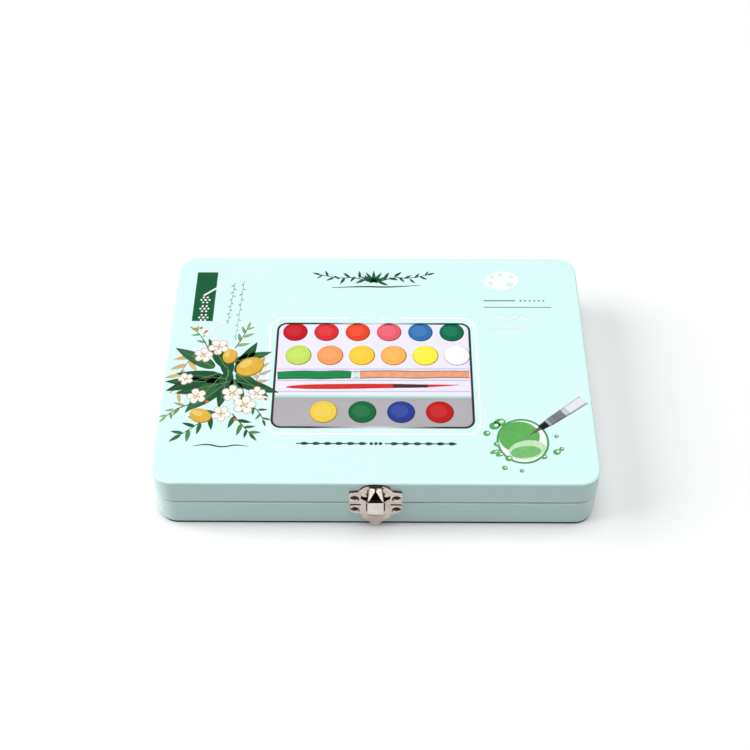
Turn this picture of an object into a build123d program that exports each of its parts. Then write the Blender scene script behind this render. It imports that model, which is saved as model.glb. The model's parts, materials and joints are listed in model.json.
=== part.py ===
from build123d import *

import os
from math import asin, cos, hypot, radians, sin, sqrt

# Watercolour paint tin: a pressed steel case with a hinged lid, a nickel catch, a mixing palette in the
# lid and a tray that holds the paint cakes, a sponge, a pencil and a water brush.
# Millimetres. X runs along the width, Y from the catch at the front to the hinges at the back, Z is up.
# The origin is the centre of the underside.

os.makedirs("parts", exist_ok=True)

# The case
tin_width = 230.0
tin_depth = 162.0
base_height = 19.0
lid_height = 16.5
corner_radius = 11.0
bottom_edge_radius = 2.0
top_edge_radius = 1.2
sheet = 0.4
hem_depth = 1.4  # how far the folded rim reaches inwards
hem_height = 1.6
hem_roll = 0.6  # radius of the rounded rim
seam_gap = 0.3

# The paint tray, formed from thin plastic
tray_fit = 0.3  # room between the tray and the rim it is dropped through
tray_wall = 0.8
tray_flange = 2.0  # how far the deck reaches past the skirt
deck_drop = 0.8  # the deck lies this far below the rim
cup_corner = 3.0

# The paint cakes
cake_columns = 9
cake_rows = 4
cakes_side_margin = 1.6  # from the tray's skirt to the field of the cakes
cakes_back_margin = 0.25
cake_length = 17.5
cake_width = 15.5
cake_height = 5.5
cake_cut = 4.2  # the cut across each corner
cake_edge = 0.6
cake_fit = 0.3
cake_sink = 0.6  # the cake's top lies this far below the deck

# The pencil
pencil_length = 150.0
pencil_flats = 7.2
pencil_point = 18.0  # length of the sharpened end
lead_radius = 1.1
lead_fit = 0.03

# The water brush, from its plug to the tip of its cap
plug_length = 8.0
plug_spigot = 5.0
barrel_length = 78.0
barrel_radius = 5.4
barrel_wall = 1.2
grip_ring_length = 4.0
grip_seat_length = 4.0
grip_cone_length = 11.0
grip_seat_radius = 4.1
grip_tip_radius = 2.7
grip_spigot = 5.0
spigot_fit = 0.03
tuft_radius = 1.7
tuft_root = 6.0
tuft_belly = 2.0
tuft_length = 17.0
cap_length = 38.0
cap_wall = 0.9
cap_fit = 0.05
brush_rise = 0.5  # the barrel stands this far above the deck

# The grooves for the tools, the sponge well and the finger scoop
tool_end_gap = 2.0
tool_side_gap = 0.9
front_band = 54.75  # depth of the tray's front part, which holds the tools and the sponge
tools_side_margin = 4.2  # from the tray's skirt to the two grooves
tools_front_margin = 11.4
tools_apart = 26.5  # from the water brush's axis to the pencil's
sponge_margin = 5.8  # from the tray's skirt to the sponge well
sponge_web = 12.6  # from the pencil's groove to the sponge well
sponge_width = 46.0
sponge_height = 12.0
sponge_edge = 1.5
sponge_fit = 0.4
sponge_sink = 1.0
scoop_length = 26.0
scoop_width = 50.0
scoop_depth = 8.0

# The mixing palette in the lid
palette_fit = 0.3
palette_wall = 0.8
palette_lift = 0.1  # room between the folded rim and the palette's flange
mixing_columns = 4
mixing_rows = 2
mixing_side_margin = 8.8  # from the palette's edge to the hollows
mixing_front_margin = 9.8
mixing_depth = 8.0
mixing_corner = 9.0
mixing_gap = 5.0

# The catch: heights are measured from the underside of the case
plate_thickness = 1.1
catch_half_width = 13.7
catch_ear_top = 29.3
catch_ear_rise = 0.6  # the ears' top edge climbs this much towards the arch
catch_arch_half = 9.1
catch_arch_top = 35.2
catch_arch_shoulder = 5.2  # where the arch's flat top begins
catch_arch_drop = 0.9  # how far the arch has dropped there
catch_ear_round = 1.2
catch_lid_gap = 0.25  # from the seam to the plate on the lid
catch_base_gap = 0.6  # from the seam to the plate on the base
catch_rivet_x = 10.8
catch_lid_rivet_z = 24.0
catch_base_rivet_z = 14.0
catch_base_half = 13.3
catch_base_foot = 6.6
catch_base_ear_foot = 12.6
pin_z = 25.0
pin_stand = 3.5  # from the case's front face to the pin's axis
pin_radius = 0.6
pin_fit = 0.05
pin_overhang = 0.7
knuckle_radius = 1.1
knuckle_half = 3.2
window_half = 7.4
window_foot = 22.6
window_shoulder = 25.9
window_floor = 0.3
window_side_gap = 0.3
hood_foot_half = 4.1
hood_top_half = 2.8
hood_top = 34.0
hood_lip_stand = 5.0
hood_top_stand = 1.6
hood_clearance = 0.12  # from the hood to the box's edge as it swings past
hood_notch_half = 3.4
hood_notch_top = 32.3
hood_groove = 0.4  # half width of the fold above the notch
hasp_half_width = 7.6
hasp_shoulder = 25.7
hasp_neck = 22.8  # the plate's top edge beside the box
hasp_straight_foot = 10.1
hasp_point = 1.6
hasp_stand = 1.4
hasp_thickness = 0.7
box_half = 4.25
box_wall = 0.8
box_top = 26.9
box_face_foot = 17.0
box_foot = 7.2
box_foot_half = 2.6
box_stand = 5.6
box_edge = 0.5
nose_half = 2.6
nose_low = 12.4
nose_high = 17.2
nose_gap = 0.15  # from the nose to the back of the closed hasp

# Rivets
rivet_shank = 1.0
rivet_hole_fit = 0.05
rivet_head = 2.5
rivet_dome = 1.3
rivet_tail = 1.6
rivet_tail_height = 0.4

# The two hinges at the back
hinge_offset = 70.0
hinge_half_width = 12.0
hinge_leaf = 0.6
hinge_leaf_height = 9.0
hinge_knuckle_radius = 1.5
hinge_knuckle_half = 4.0  # half of the middle knuckle
hinge_knuckle_gap = 0.2
hinge_wall_gap = 0.3
hinge_pin_radius = 0.7
hinge_pin_overhang = 0.5
hinge_leaf_round = 1.5
hinge_rivet_x = 8.0
hinge_rivet_drop = 5.9  # from the hinge's axis to the rivets of each leaf
hinge_rivet_head = 1.9
hinge_rivet_dome = 0.7

# Places that follow from the sizes above
half_width = tin_width / 2
half_depth = tin_depth / 2
seam_z = base_height + seam_gap / 2
lid_bottom = base_height + seam_gap
tin_height = lid_bottom + lid_height
deck_top = base_height - deck_drop
tray_length = tin_width - 2 * (hem_depth + tray_fit)
tray_width = tin_depth - 2 * (hem_depth + tray_fit)
tray_corner = corner_radius - hem_depth - tray_fit
hinge_y = half_depth + hinge_wall_gap + hinge_knuckle_radius
front_wall = Plane.XZ.offset(half_depth)
rivet_hole = rivet_shank + rivet_hole_fit

catch_lid_rivets_at = [(-catch_rivet_x, catch_lid_rivet_z), (catch_rivet_x, catch_lid_rivet_z)]
catch_base_rivets_at = [(-catch_rivet_x, catch_base_rivet_z), (catch_rivet_x, catch_base_rivet_z)]
hinge_rivet_xs = [
    side * hinge_offset + step for side in (-1, 1) for step in (-hinge_rivet_x, hinge_rivet_x)
]
hinge_lid_rivets_at = [(x, seam_z + hinge_rivet_drop) for x in hinge_rivet_xs]
hinge_base_rivets_at = [(x, seam_z - hinge_rivet_drop) for x in hinge_rivet_xs]


def wall_plane(x, z, side):
    """A plane at (x, z) on the front (side -1) or back (side 1) face, whose own y points outwards."""
    return Plane(origin=(x, side * half_depth, z), x_dir=(1, 0, 0), z_dir=(0, 0, side))


def rivet(x, z, side, plate, head, dome):
    """One domed rivet that holds a plate to the sheet, with a flat tail inside."""
    place = wall_plane(x, z, side)
    ball = (head**2 + dome**2) / (2 * dome)
    turn = asin(head / ball) / 2
    with BuildPart() as piece:
        with BuildSketch(place):
            with BuildLine():
                Polyline(
                    (0, plate + dome),
                    (0, -sheet - rivet_tail_height),
                    (rivet_tail, -sheet - rivet_tail_height),
                    (rivet_tail, -sheet),
                    (rivet_shank, -sheet),
                    (rivet_shank, plate),
                    (head, plate),
                )
                ThreePointArc(
                    (head, plate),
                    (ball * sin(turn), plate + dome - ball * (1 - cos(turn))),
                    (0, plate + dome),
                )
            make_face()
        revolve(axis=Axis(place.origin, place.y_dir))
    return piece.part


def rivet_holes(places, side):
    """Pins of the holes' size, through a plate and the sheet behind it."""
    with BuildPart() as piece:
        for x, z in places:
            place = Plane(origin=(x, side * half_depth, z), z_dir=(0, side, 0))
            with BuildSketch(place):
                Circle(rivet_hole)
            extrude(amount=plate_thickness, both=True)
    return piece.part


# The base of the case
with BuildPart() as base_shell:
    with BuildSketch():
        RectangleRounded(tin_width, tin_depth, corner_radius)
    extrude(amount=base_height)
    fillet(base_shell.faces().sort_by(Axis.Z)[0].edges(), bottom_edge_radius)
    offset(amount=-sheet, openings=base_shell.faces().sort_by(Axis.Z)[-1])
    with BuildSketch(Plane.XY.offset(base_height - hem_height)):
        RectangleRounded(tin_width, tin_depth, corner_radius)
        RectangleRounded(
            tin_width - 2 * hem_depth,
            tin_depth - 2 * hem_depth,
            corner_radius - hem_depth,
            mode=Mode.SUBTRACT,
        )
    extrude(amount=hem_height)
    fillet(base_shell.faces().sort_by(Axis.Z)[-1].edges(), hem_roll)
    add(rivet_holes(catch_base_rivets_at, -1), mode=Mode.SUBTRACT)
    add(rivet_holes(hinge_base_rivets_at, 1), mode=Mode.SUBTRACT)
base_shell.part.label = "base_shell"
export_step(base_shell.part, "parts/base_shell.step")

# The lid of the case
with BuildPart() as lid_shell:
    with BuildSketch(Plane.XY.offset(lid_bottom)):
        RectangleRounded(tin_width, tin_depth, corner_radius)
    extrude(amount=lid_height)
    fillet(lid_shell.faces().sort_by(Axis.Z)[-1].edges(), top_edge_radius)
    offset(amount=-sheet, openings=lid_shell.faces().sort_by(Axis.Z)[0])
    with BuildSketch(Plane.XY.offset(lid_bottom)):
        RectangleRounded(tin_width, tin_depth, corner_radius)
        RectangleRounded(
            tin_width - 2 * hem_depth,
            tin_depth - 2 * hem_depth,
            corner_radius - hem_depth,
            mode=Mode.SUBTRACT,
        )
    extrude(amount=hem_height)
    fillet(lid_shell.faces().sort_by(Axis.Z)[0].edges(), hem_roll)
    add(rivet_holes(catch_lid_rivets_at, -1), mode=Mode.SUBTRACT)
    add(rivet_holes(hinge_lid_rivets_at, 1), mode=Mode.SUBTRACT)
lid_shell.part.label = "lid_shell"
export_step(lid_shell.part, "parts/lid_shell.step")

# The mixing palette, which snaps in above the lid's folded rim
palette_bottom = lid_bottom + hem_height + palette_lift
palette_inset = sheet + palette_fit
palette_length = tin_width - 2 * palette_inset
palette_width = tin_depth - 2 * palette_inset
mixing_room_x = palette_length - 2 * mixing_side_margin - (mixing_columns - 1) * mixing_gap
mixing_room_y = palette_width - 2 * mixing_front_margin - (mixing_rows - 1) * mixing_gap
mixing_length = mixing_room_x / mixing_columns
mixing_width = mixing_room_y / mixing_rows
mixing_pitch_x = mixing_length + mixing_gap
mixing_pitch_y = mixing_width + mixing_gap
with BuildPart() as mixing_palette:
    with BuildSketch(Plane.XY.offset(palette_bottom)):
        RectangleRounded(palette_length, palette_width, corner_radius - palette_inset)
    extrude(amount=palette_wall)
    with BuildSketch(Plane.XY.offset(palette_bottom)):
        with GridLocations(mixing_pitch_x, mixing_pitch_y, mixing_columns, mixing_rows):
            RectangleRounded(
                mixing_length + 2 * palette_wall,
                mixing_width + 2 * palette_wall,
                mixing_corner + palette_wall,
            )
    extrude(amount=mixing_depth + palette_wall)
    with BuildSketch(Plane.XY.offset(palette_bottom)):
        with GridLocations(mixing_pitch_x, mixing_pitch_y, mixing_columns, mixing_rows):
            RectangleRounded(mixing_length, mixing_width, mixing_corner)
    extrude(amount=mixing_depth, mode=Mode.SUBTRACT)
    fillet(mixing_palette.faces().sort_by(Axis.Z)[0].inner_wires().edges(), palette_wall / 2)
mixing_palette.part.label = "mixing_palette"
export_step(mixing_palette.part, "parts/mixing_palette.step")

# The tray's inside, then what lies in its front part: the sponge takes the room that the pencil leaves
inner_half_length = tray_length / 2 - tray_flange - tray_wall
inner_half_width = tray_width / 2 - tray_flange - tray_wall
pencil_radius = pencil_flats / 2
casing_corner = pencil_radius / cos(radians(30))
brush_length = plug_length + barrel_length + grip_ring_length + cap_length
pencil_slot = pencil_length + 2 * tool_end_gap
brush_slot = brush_length + 2 * tool_end_gap
pencil_slot_width = 2 * (casing_corner + tool_side_gap)
brush_slot_width = 2 * (barrel_radius + tool_side_gap)
tools_left = -inner_half_length + tools_side_margin + tray_wall
sponge_left = tools_left + pencil_slot + sponge_web
sponge_right = inner_half_length - sponge_margin - tray_wall
sponge_well_width = sponge_width + 2 * sponge_fit
sponge_length = sponge_right - sponge_left - 2 * sponge_fit
sponge_x = (sponge_left + sponge_right) / 2
sponge_y = -inner_half_width + sponge_margin + tray_wall + sponge_well_width / 2
brush_y = -inner_half_width + tools_front_margin + tray_wall + brush_slot_width / 2
pencil_y = brush_y + tools_apart
tool_x = tools_left + tool_end_gap
pencil_z = deck_top - pencil_radius
brush_z = deck_top + brush_rise - barrel_radius
scoop_x = tools_left + pencil_slot / 2
scoop_y = (pencil_y + brush_y) / 2

# Places of the cakes in the rest of the tray, from the back left corner, row by row
cake_pitch_x = 2 * (inner_half_length - cakes_side_margin) / cake_columns
cake_pitch_y = (2 * inner_half_width - front_band - cakes_back_margin) / cake_rows
well_depth = cake_height + cake_sink
well_floor = deck_top - well_depth
cake_places = [
    (
        (column - (cake_columns - 1) / 2) * cake_pitch_x,
        inner_half_width - cakes_back_margin - (row + 0.5) * cake_pitch_y,
    )
    for row in range(cake_rows)
    for column in range(cake_columns)
]


def octagons(grow):
    """The outlines of all the cakes, each grown by the same amount all round."""
    with BuildSketch() as outline:
        with Locations(*cake_places):
            Rectangle(cake_length + 2 * grow, cake_width + 2 * grow)
        chamfer(outline.vertices(), cake_cut + 0.6 * grow)
    return outline.sketch


# Each cup is its middle, its length and width, and its depth below the deck
brush_slot_depth = deck_top - brush_z + barrel_radius
cups = [
    (tools_left + pencil_slot / 2, pencil_y, pencil_slot, pencil_slot_width, pencil_flats),
    (tools_left + brush_slot / 2, brush_y, brush_slot, brush_slot_width, brush_slot_depth),
    (sponge_x, sponge_y, sponge_right - sponge_left, sponge_well_width, sponge_height + sponge_sink),
    (scoop_x, scoop_y, scoop_length, scoop_width, scoop_depth),
]

# The paint tray
with BuildPart() as paint_tray:
    with BuildSketch(Plane.XY.offset(deck_top - tray_wall)):
        RectangleRounded(tray_length, tray_width, tray_corner)
    extrude(amount=tray_wall)
    with BuildSketch(Plane.XY.offset(sheet)):
        RectangleRounded(
            tray_length - 2 * tray_flange, tray_width - 2 * tray_flange, tray_corner - tray_flange
        )
        RectangleRounded(
            tray_length - 2 * (tray_flange + tray_wall),
            tray_width - 2 * (tray_flange + tray_wall),
            tray_corner - tray_flange - tray_wall,
            mode=Mode.SUBTRACT,
        )
    extrude(amount=deck_top - tray_wall - sheet)
    with BuildSketch(Plane.XY.offset(well_floor - tray_wall)):
        add(octagons(cake_fit + tray_wall))
    extrude(amount=well_depth + tray_wall)
    for x, y, length, width, depth in cups:
        with BuildSketch(Plane(origin=(x, y, deck_top - depth - tray_wall))):
            RectangleRounded(length + 2 * tray_wall, width + 2 * tray_wall, cup_corner + tray_wall)
        extrude(amount=depth + tray_wall)
    with BuildSketch(Plane.XY.offset(well_floor)):
        add(octagons(cake_fit))
    extrude(amount=well_depth, mode=Mode.SUBTRACT)
    for x, y, length, width, depth in cups:
        with BuildSketch(Plane(origin=(x, y, deck_top - depth))):
            RectangleRounded(length, width, cup_corner)
        extrude(amount=depth, mode=Mode.SUBTRACT)
paint_tray.part.label = "paint_tray"
export_step(paint_tray.part, "parts/paint_tray.step")

# The paint cakes, pressed blocks with cut corners
for number, (x, y) in enumerate(cake_places, start=1):
    with BuildPart() as cake:
        with BuildSketch(Plane(origin=(x, y, well_floor))) as outline:
            Rectangle(cake_length, cake_width)
            chamfer(outline.vertices(), cake_cut)
        extrude(amount=cake_height)
        chamfer(cake.faces().sort_by(Axis.Z)[-1].edges(), cake_edge)
    cake.part.label = f"cake_{number:02d}"
    export_step(cake.part, f"parts/cake_{number:02d}.step")

# The sponge, a soft block with eased edges
with BuildPart() as sponge:
    with BuildSketch(Plane(origin=(sponge_x, sponge_y, deck_top - sponge_sink - sponge_height))):
        RectangleRounded(sponge_length, sponge_width, cup_corner)
    extrude(amount=sponge_height)
    fillet(sponge.faces().sort_by(Axis.Z)[-1].edges(), sponge_edge)
sponge.part.label = "sponge"
export_step(sponge.part, "parts/sponge.step")

# The pencil lies along X with its point to the right
pencil_axis = Axis((tool_x, pencil_y, pencil_z), (1, 0, 0))
pencil_side = Plane(origin=(tool_x, pencil_y, pencil_z), x_dir=(1, 0, 0), z_dir=(0, -1, 0))
pencil_end = Plane(origin=(tool_x, pencil_y, pencil_z), x_dir=(0, 1, 0), z_dir=(1, 0, 0))
# The cone leaves the lead bare over the last part of the point
cone_slope = casing_corner / pencil_point
lead_bare = (lead_radius + lead_fit) / cone_slope
with BuildPart() as pencil_casing:
    with BuildSketch(pencil_end):
        RegularPolygon(casing_corner, 6)
        Circle(lead_radius + lead_fit, mode=Mode.SUBTRACT)
    extrude(amount=pencil_length - lead_bare)
    with BuildSketch(pencil_side):
        with BuildLine():
            Polyline(
                (0, 0),
                (0, casing_corner),
                (pencil_length - pencil_point, casing_corner),
                (pencil_length, 0),
                close=True,
            )
        make_face()
    revolve(axis=pencil_axis, mode=Mode.INTERSECT)
pencil_casing.part.label = "pencil_casing"
export_step(pencil_casing.part, "parts/pencil_casing.step")

with BuildPart() as pencil_lead:
    with BuildSketch(pencil_side):
        with BuildLine():
            Polyline(
                (0, 0),
                (0, lead_radius),
                (pencil_length - lead_radius / cone_slope, lead_radius),
                (pencil_length, 0),
                close=True,
            )
        make_face()
    revolve(axis=pencil_axis)
pencil_lead.part.label = "pencil_lead"
export_step(pencil_lead.part, "parts/pencil_lead.step")

# The water brush lies along X with its cap to the right
brush_side = Plane(origin=(tool_x, brush_y, brush_z), x_dir=(1, 0, 0), z_dir=(0, -1, 0))
brush_axis = Axis((tool_x, brush_y, brush_z), (1, 0, 0))
barrel_bore = barrel_radius - barrel_wall
spigot_radius = barrel_bore - spigot_fit
barrel_end = plug_length + barrel_length
grip_seat_start = barrel_end + grip_ring_length
grip_cone_start = grip_seat_start + grip_seat_length
grip_end = grip_cone_start + grip_cone_length
tuft_start = grip_end - tuft_root
cap_end = grip_seat_start + cap_length
cap_outer = barrel_radius

with BuildPart() as brush_plug:
    with BuildSketch(brush_side):
        with BuildLine():
            Polyline(
                (plug_length / 2, barrel_radius),
                (plug_length, barrel_radius),
                (plug_length, spigot_radius),
                (plug_length + plug_spigot, spigot_radius),
                (plug_length + plug_spigot, 0),
                (0, 0),
                (0, barrel_radius / 2),
            )
            TangentArc((plug_length / 2, barrel_radius), (0, barrel_radius / 2), tangent=(-1, 0))
        make_face()
    revolve(axis=brush_axis)
brush_plug.part.label = "brush_plug"
export_step(brush_plug.part, "parts/brush_plug.step")

with BuildPart() as brush_barrel:
    with BuildSketch(brush_side):
        with BuildLine():
            Polyline(
                (plug_length, barrel_bore),
                (plug_length, barrel_radius),
                (barrel_end, barrel_radius),
                (barrel_end, barrel_bore),
                close=True,
            )
        make_face()
    revolve(axis=brush_axis)
brush_barrel.part.label = "brush_barrel"
export_step(brush_barrel.part, "parts/brush_barrel.step")

with BuildPart() as brush_grip:
    with BuildSketch(brush_side):
        with BuildLine():
            Polyline(
                (barrel_end - grip_spigot, 0),
                (barrel_end - grip_spigot, spigot_radius),
                (barrel_end, spigot_radius),
                (barrel_end, barrel_radius),
                (grip_seat_start, barrel_radius),
                (grip_seat_start, grip_seat_radius),
                (grip_cone_start, grip_seat_radius),
                (grip_end, grip_tip_radius),
                (grip_end, tuft_radius + spigot_fit),
                (tuft_start, tuft_radius + spigot_fit),
                (tuft_start, 0),
                close=True,
            )
        make_face()
    revolve(axis=brush_axis)
brush_grip.part.label = "brush_grip"
export_step(brush_grip.part, "parts/brush_grip.step")

with BuildPart() as brush_tuft:
    with BuildSketch(brush_side):
        with BuildLine():
            Polyline(
                (grip_end + tuft_length, 0),
                (tuft_start, 0),
                (tuft_start, tuft_radius),
                (grip_end, tuft_radius),
            )
            Spline(
                (grip_end, tuft_radius),
                (grip_end + tuft_length * 0.4, tuft_belly),
                (grip_end + tuft_length, 0),
            )
        make_face()
    revolve(axis=brush_axis)
brush_tuft.part.label = "brush_tuft"
export_step(brush_tuft.part, "parts/brush_tuft.step")

cap_bore = grip_seat_radius + cap_fit
with BuildPart() as brush_cap:
    with BuildSketch(brush_side):
        with BuildLine():
            Polyline(
                (cap_end - cap_outer, cap_outer),
                (grip_seat_start, cap_outer),
                (grip_seat_start, cap_bore),
                (cap_end - cap_outer, cap_bore),
                (cap_end - cap_wall, 0),
                (cap_end, 0),
            )
            RadiusArc((cap_end, 0), (cap_end - cap_outer, cap_outer), -cap_outer)
        make_face()
    revolve(axis=brush_axis)
brush_cap.part.label = "brush_cap"
export_step(brush_cap.part, "parts/brush_cap.step")

# The hood over the hasp's hinge slopes forward from the arch to a lip, with a notch and a fold in its middle.
# Its underside follows the round path of the box's top edge.
box_reach = hypot(box_stand - pin_stand, box_top - pin_z) + hood_clearance
hood_under = pin_z + box_reach
hood_lip = pin_z + sqrt(box_reach**2 - (hood_lip_stand - pin_stand) ** 2)
with BuildPart() as hood:
    with BuildSketch(Plane.YZ):
        with BuildLine():
            Polyline(
                (-half_depth, hood_under),
                (-half_depth - pin_stand, hood_under),
                (-half_depth - hood_lip_stand, hood_lip),
                (-half_depth - hood_top_stand, hood_top),
                (-half_depth, hood_top),
                close=True,
            )
        make_face()
        with Locations((-half_depth - pin_stand, pin_z)):
            Circle(box_reach, mode=Mode.SUBTRACT)
    extrude(amount=hood_foot_half, both=True)
    with BuildSketch(front_wall):
        Polygon(
            (-hood_foot_half, hood_lip),
            (hood_foot_half, hood_lip),
            (hood_top_half, hood_top),
            (-hood_top_half, hood_top),
            align=None,
        )
    extrude(amount=hood_lip_stand, mode=Mode.INTERSECT)
    with BuildSketch(front_wall.offset(plate_thickness)):
        Polygon(
            (-hood_notch_half, hood_lip),
            (hood_notch_half, hood_lip),
            (hood_groove, hood_notch_top),
            (0, hood_top - hood_groove),
            (-hood_groove, hood_notch_top),
            align=None,
        )
    extrude(amount=hood_lip_stand, mode=Mode.SUBTRACT)

# The catch's plate on the lid, with its arched top and the pocket behind the hasp
lid_plate_foot = lid_bottom + catch_lid_gap
with BuildPart() as catch_lid_plate:
    with BuildSketch(front_wall) as outline:
        with BuildLine():
            Polyline(
                (0, lid_plate_foot),
                (catch_half_width, lid_plate_foot),
                (catch_half_width, catch_ear_top),
                (catch_arch_half, catch_ear_top + catch_ear_rise),
            )
            Spline(
                (catch_arch_half, catch_ear_top + catch_ear_rise),
                (catch_arch_shoulder, catch_arch_top - catch_arch_drop),
                (0, catch_arch_top),
                tangents=((-0.75, 1), (-1, 0)),
            )
            mirror(about=Plane.YZ)
        make_face()
        fillet(
            outline.vertices().filter_by(lambda v: abs(abs(v.X) - catch_half_width) < 0.01),
            catch_ear_round,
        )
    extrude(amount=plate_thickness)
    with BuildSketch(front_wall.offset(window_floor)):
        Polygon(
            (-window_half, window_foot),
            (window_half, window_foot),
            (window_half, window_shoulder),
            (box_half + window_side_gap, window_shoulder),
            (box_half + window_side_gap, hood_under),
            (-box_half - window_side_gap, hood_under),
            (-box_half - window_side_gap, window_shoulder),
            (-window_half, window_shoulder),
            align=None,
        )
    extrude(amount=plate_thickness - window_floor, mode=Mode.SUBTRACT)
    add(hood.part)
    # Strap and knuckle round the pin
    with BuildSketch(Plane.YZ):
        with BuildLine():
            Polyline(
                (-half_depth, window_foot),
                (-half_depth - plate_thickness, window_foot),
                (-half_depth - plate_thickness, pin_z - knuckle_radius),
                (-half_depth - pin_stand, pin_z - knuckle_radius),
                (-half_depth - pin_stand, pin_z),
                (-half_depth, pin_z),
                close=True,
            )
        make_face()
        with Locations((-half_depth - pin_stand, pin_z)):
            Circle(knuckle_radius)
            Circle(pin_radius + pin_fit, mode=Mode.SUBTRACT)
    extrude(amount=knuckle_half, both=True)
    add(rivet_holes(catch_lid_rivets_at, -1), mode=Mode.SUBTRACT)
catch_lid_plate.part.label = "catch_lid_plate"
export_step(catch_lid_plate.part, "parts/catch_lid_plate.step")


def hasp_box(top, half, stand, face_foot, foot, foot_half):
    """A block that stands out from the hasp's plate, slopes back below its face and narrows there."""
    with BuildPart() as block:
        with BuildSketch(Plane.YZ):
            Polygon(
                (-half_depth - hasp_stand, top),
                (-half_depth - stand, top),
                (-half_depth - stand, face_foot),
                (-half_depth - hasp_stand, foot),
                align=None,
            )
        extrude(amount=half, both=True)
        with BuildSketch(front_wall):
            Polygon(
                (-half, top),
                (-half, face_foot),
                (-foot_half, foot),
                (foot_half, foot),
                (half, face_foot),
                (half, top),
                align=None,
            )
        extrude(amount=stand, mode=Mode.INTERSECT)
    return block.part


# The hasp: a shield-shaped flap with a raised hollow box that turns on the pin
with BuildPart() as catch_hasp:
    with BuildSketch(front_wall.offset(hasp_stand)):
        with BuildLine():
            Polyline(
                (0, hasp_neck),
                (box_half, hasp_neck),
                (hasp_half_width, hasp_shoulder),
                (hasp_half_width, hasp_straight_foot),
            )
            Spline(
                (hasp_half_width, hasp_straight_foot),
                (hasp_half_width * 0.88, hasp_point + (hasp_straight_foot - hasp_point) * 0.76),
                (hasp_half_width * 0.56, hasp_point + (hasp_straight_foot - hasp_point) * 0.52),
                (hasp_half_width * 0.33, hasp_point + (hasp_straight_foot - hasp_point) * 0.28),
                (hasp_half_width * 0.16, hasp_point + (hasp_straight_foot - hasp_point) * 0.07),
                (0, hasp_point),
                tangents=((0, -1), (-1, 0)),
            )
            mirror(about=Plane.YZ)
        make_face()
    extrude(amount=hasp_thickness)
    add(hasp_box(box_top, box_half, box_stand, box_face_foot, box_foot, box_foot_half))
    box_flanks = catch_hasp.faces().sort_by(Axis.Y)[0].edges().filter_by(Axis.Z)
    chamfer(box_flanks, box_edge)
    add(
        hasp_box(
            box_top,
            box_half - box_wall,
            box_stand - box_wall,
            box_face_foot + box_wall / 2,
            box_foot + box_wall * 2,
            box_foot_half - box_wall / 2,
        ),
        mode=Mode.SUBTRACT,
    )
    with BuildSketch(Plane.YZ):
        with Locations((-half_depth - pin_stand, pin_z)):
            Circle(pin_radius + pin_fit)
    extrude(amount=box_half + pin_overhang, both=True, mode=Mode.SUBTRACT)
catch_hasp.part.label = "catch_hasp"
export_step(catch_hasp.part, "parts/catch_hasp.step")

with BuildPart() as catch_pin:
    with BuildSketch(Plane.YZ):
        with Locations((-half_depth - pin_stand, pin_z)):
            Circle(pin_radius)
    extrude(amount=box_half + pin_overhang, both=True)
catch_pin.part.label = "catch_pin"
export_step(catch_pin.part, "parts/catch_pin.step")

# The catch's plate on the base, with the low nose that the hasp's box closes over
base_plate_top = base_height - catch_base_gap
with BuildPart() as catch_base_plate:
    with BuildSketch(front_wall) as outline:
        with BuildLine():
            Polyline(
                (0, base_plate_top),
                (catch_base_half, base_plate_top),
                (catch_base_half, catch_base_ear_foot),
                (hasp_half_width, catch_base_foot + (catch_base_ear_foot - catch_base_foot) * 0.5),
                (0, catch_base_foot),
            )
            mirror(about=Plane.YZ)
        make_face()
        fillet(
            outline.vertices().filter_by(lambda v: abs(abs(v.X) - catch_base_half) < 0.01),
            catch_ear_round,
        )
    extrude(amount=plate_thickness)
    with BuildSketch(Plane.YZ):
        with BuildLine():
            Polyline(
                (-half_depth, nose_low),
                (-half_depth, nose_high),
                (-half_depth - plate_thickness, nose_high),
            )
            ThreePointArc(
                (-half_depth - plate_thickness, nose_high),
                (-half_depth - hasp_stand + nose_gap, (nose_low + nose_high) / 2),
                (-half_depth - plate_thickness, nose_low),
            )
            Line((-half_depth - plate_thickness, nose_low), (-half_depth, nose_low))
        make_face()
    extrude(amount=nose_half, both=True)
    add(rivet_holes(catch_base_rivets_at, -1), mode=Mode.SUBTRACT)
catch_base_plate.part.label = "catch_base_plate"
export_step(catch_base_plate.part, "parts/catch_base_plate.step")

with BuildPart() as catch_lid_rivets:
    for x, z in catch_lid_rivets_at:
        add(rivet(x, z, -1, plate_thickness, rivet_head, rivet_dome))
catch_lid_rivets.part.label = "catch_lid_rivets"
export_step(catch_lid_rivets.part, "parts/catch_lid_rivets.step")

with BuildPart() as catch_base_rivets:
    for x, z in catch_base_rivets_at:
        add(rivet(x, z, -1, plate_thickness, rivet_head, rivet_dome))
catch_base_rivets.part.label = "catch_base_rivets"
export_step(catch_base_rivets.part, "parts/catch_base_rivets.step")


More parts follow.
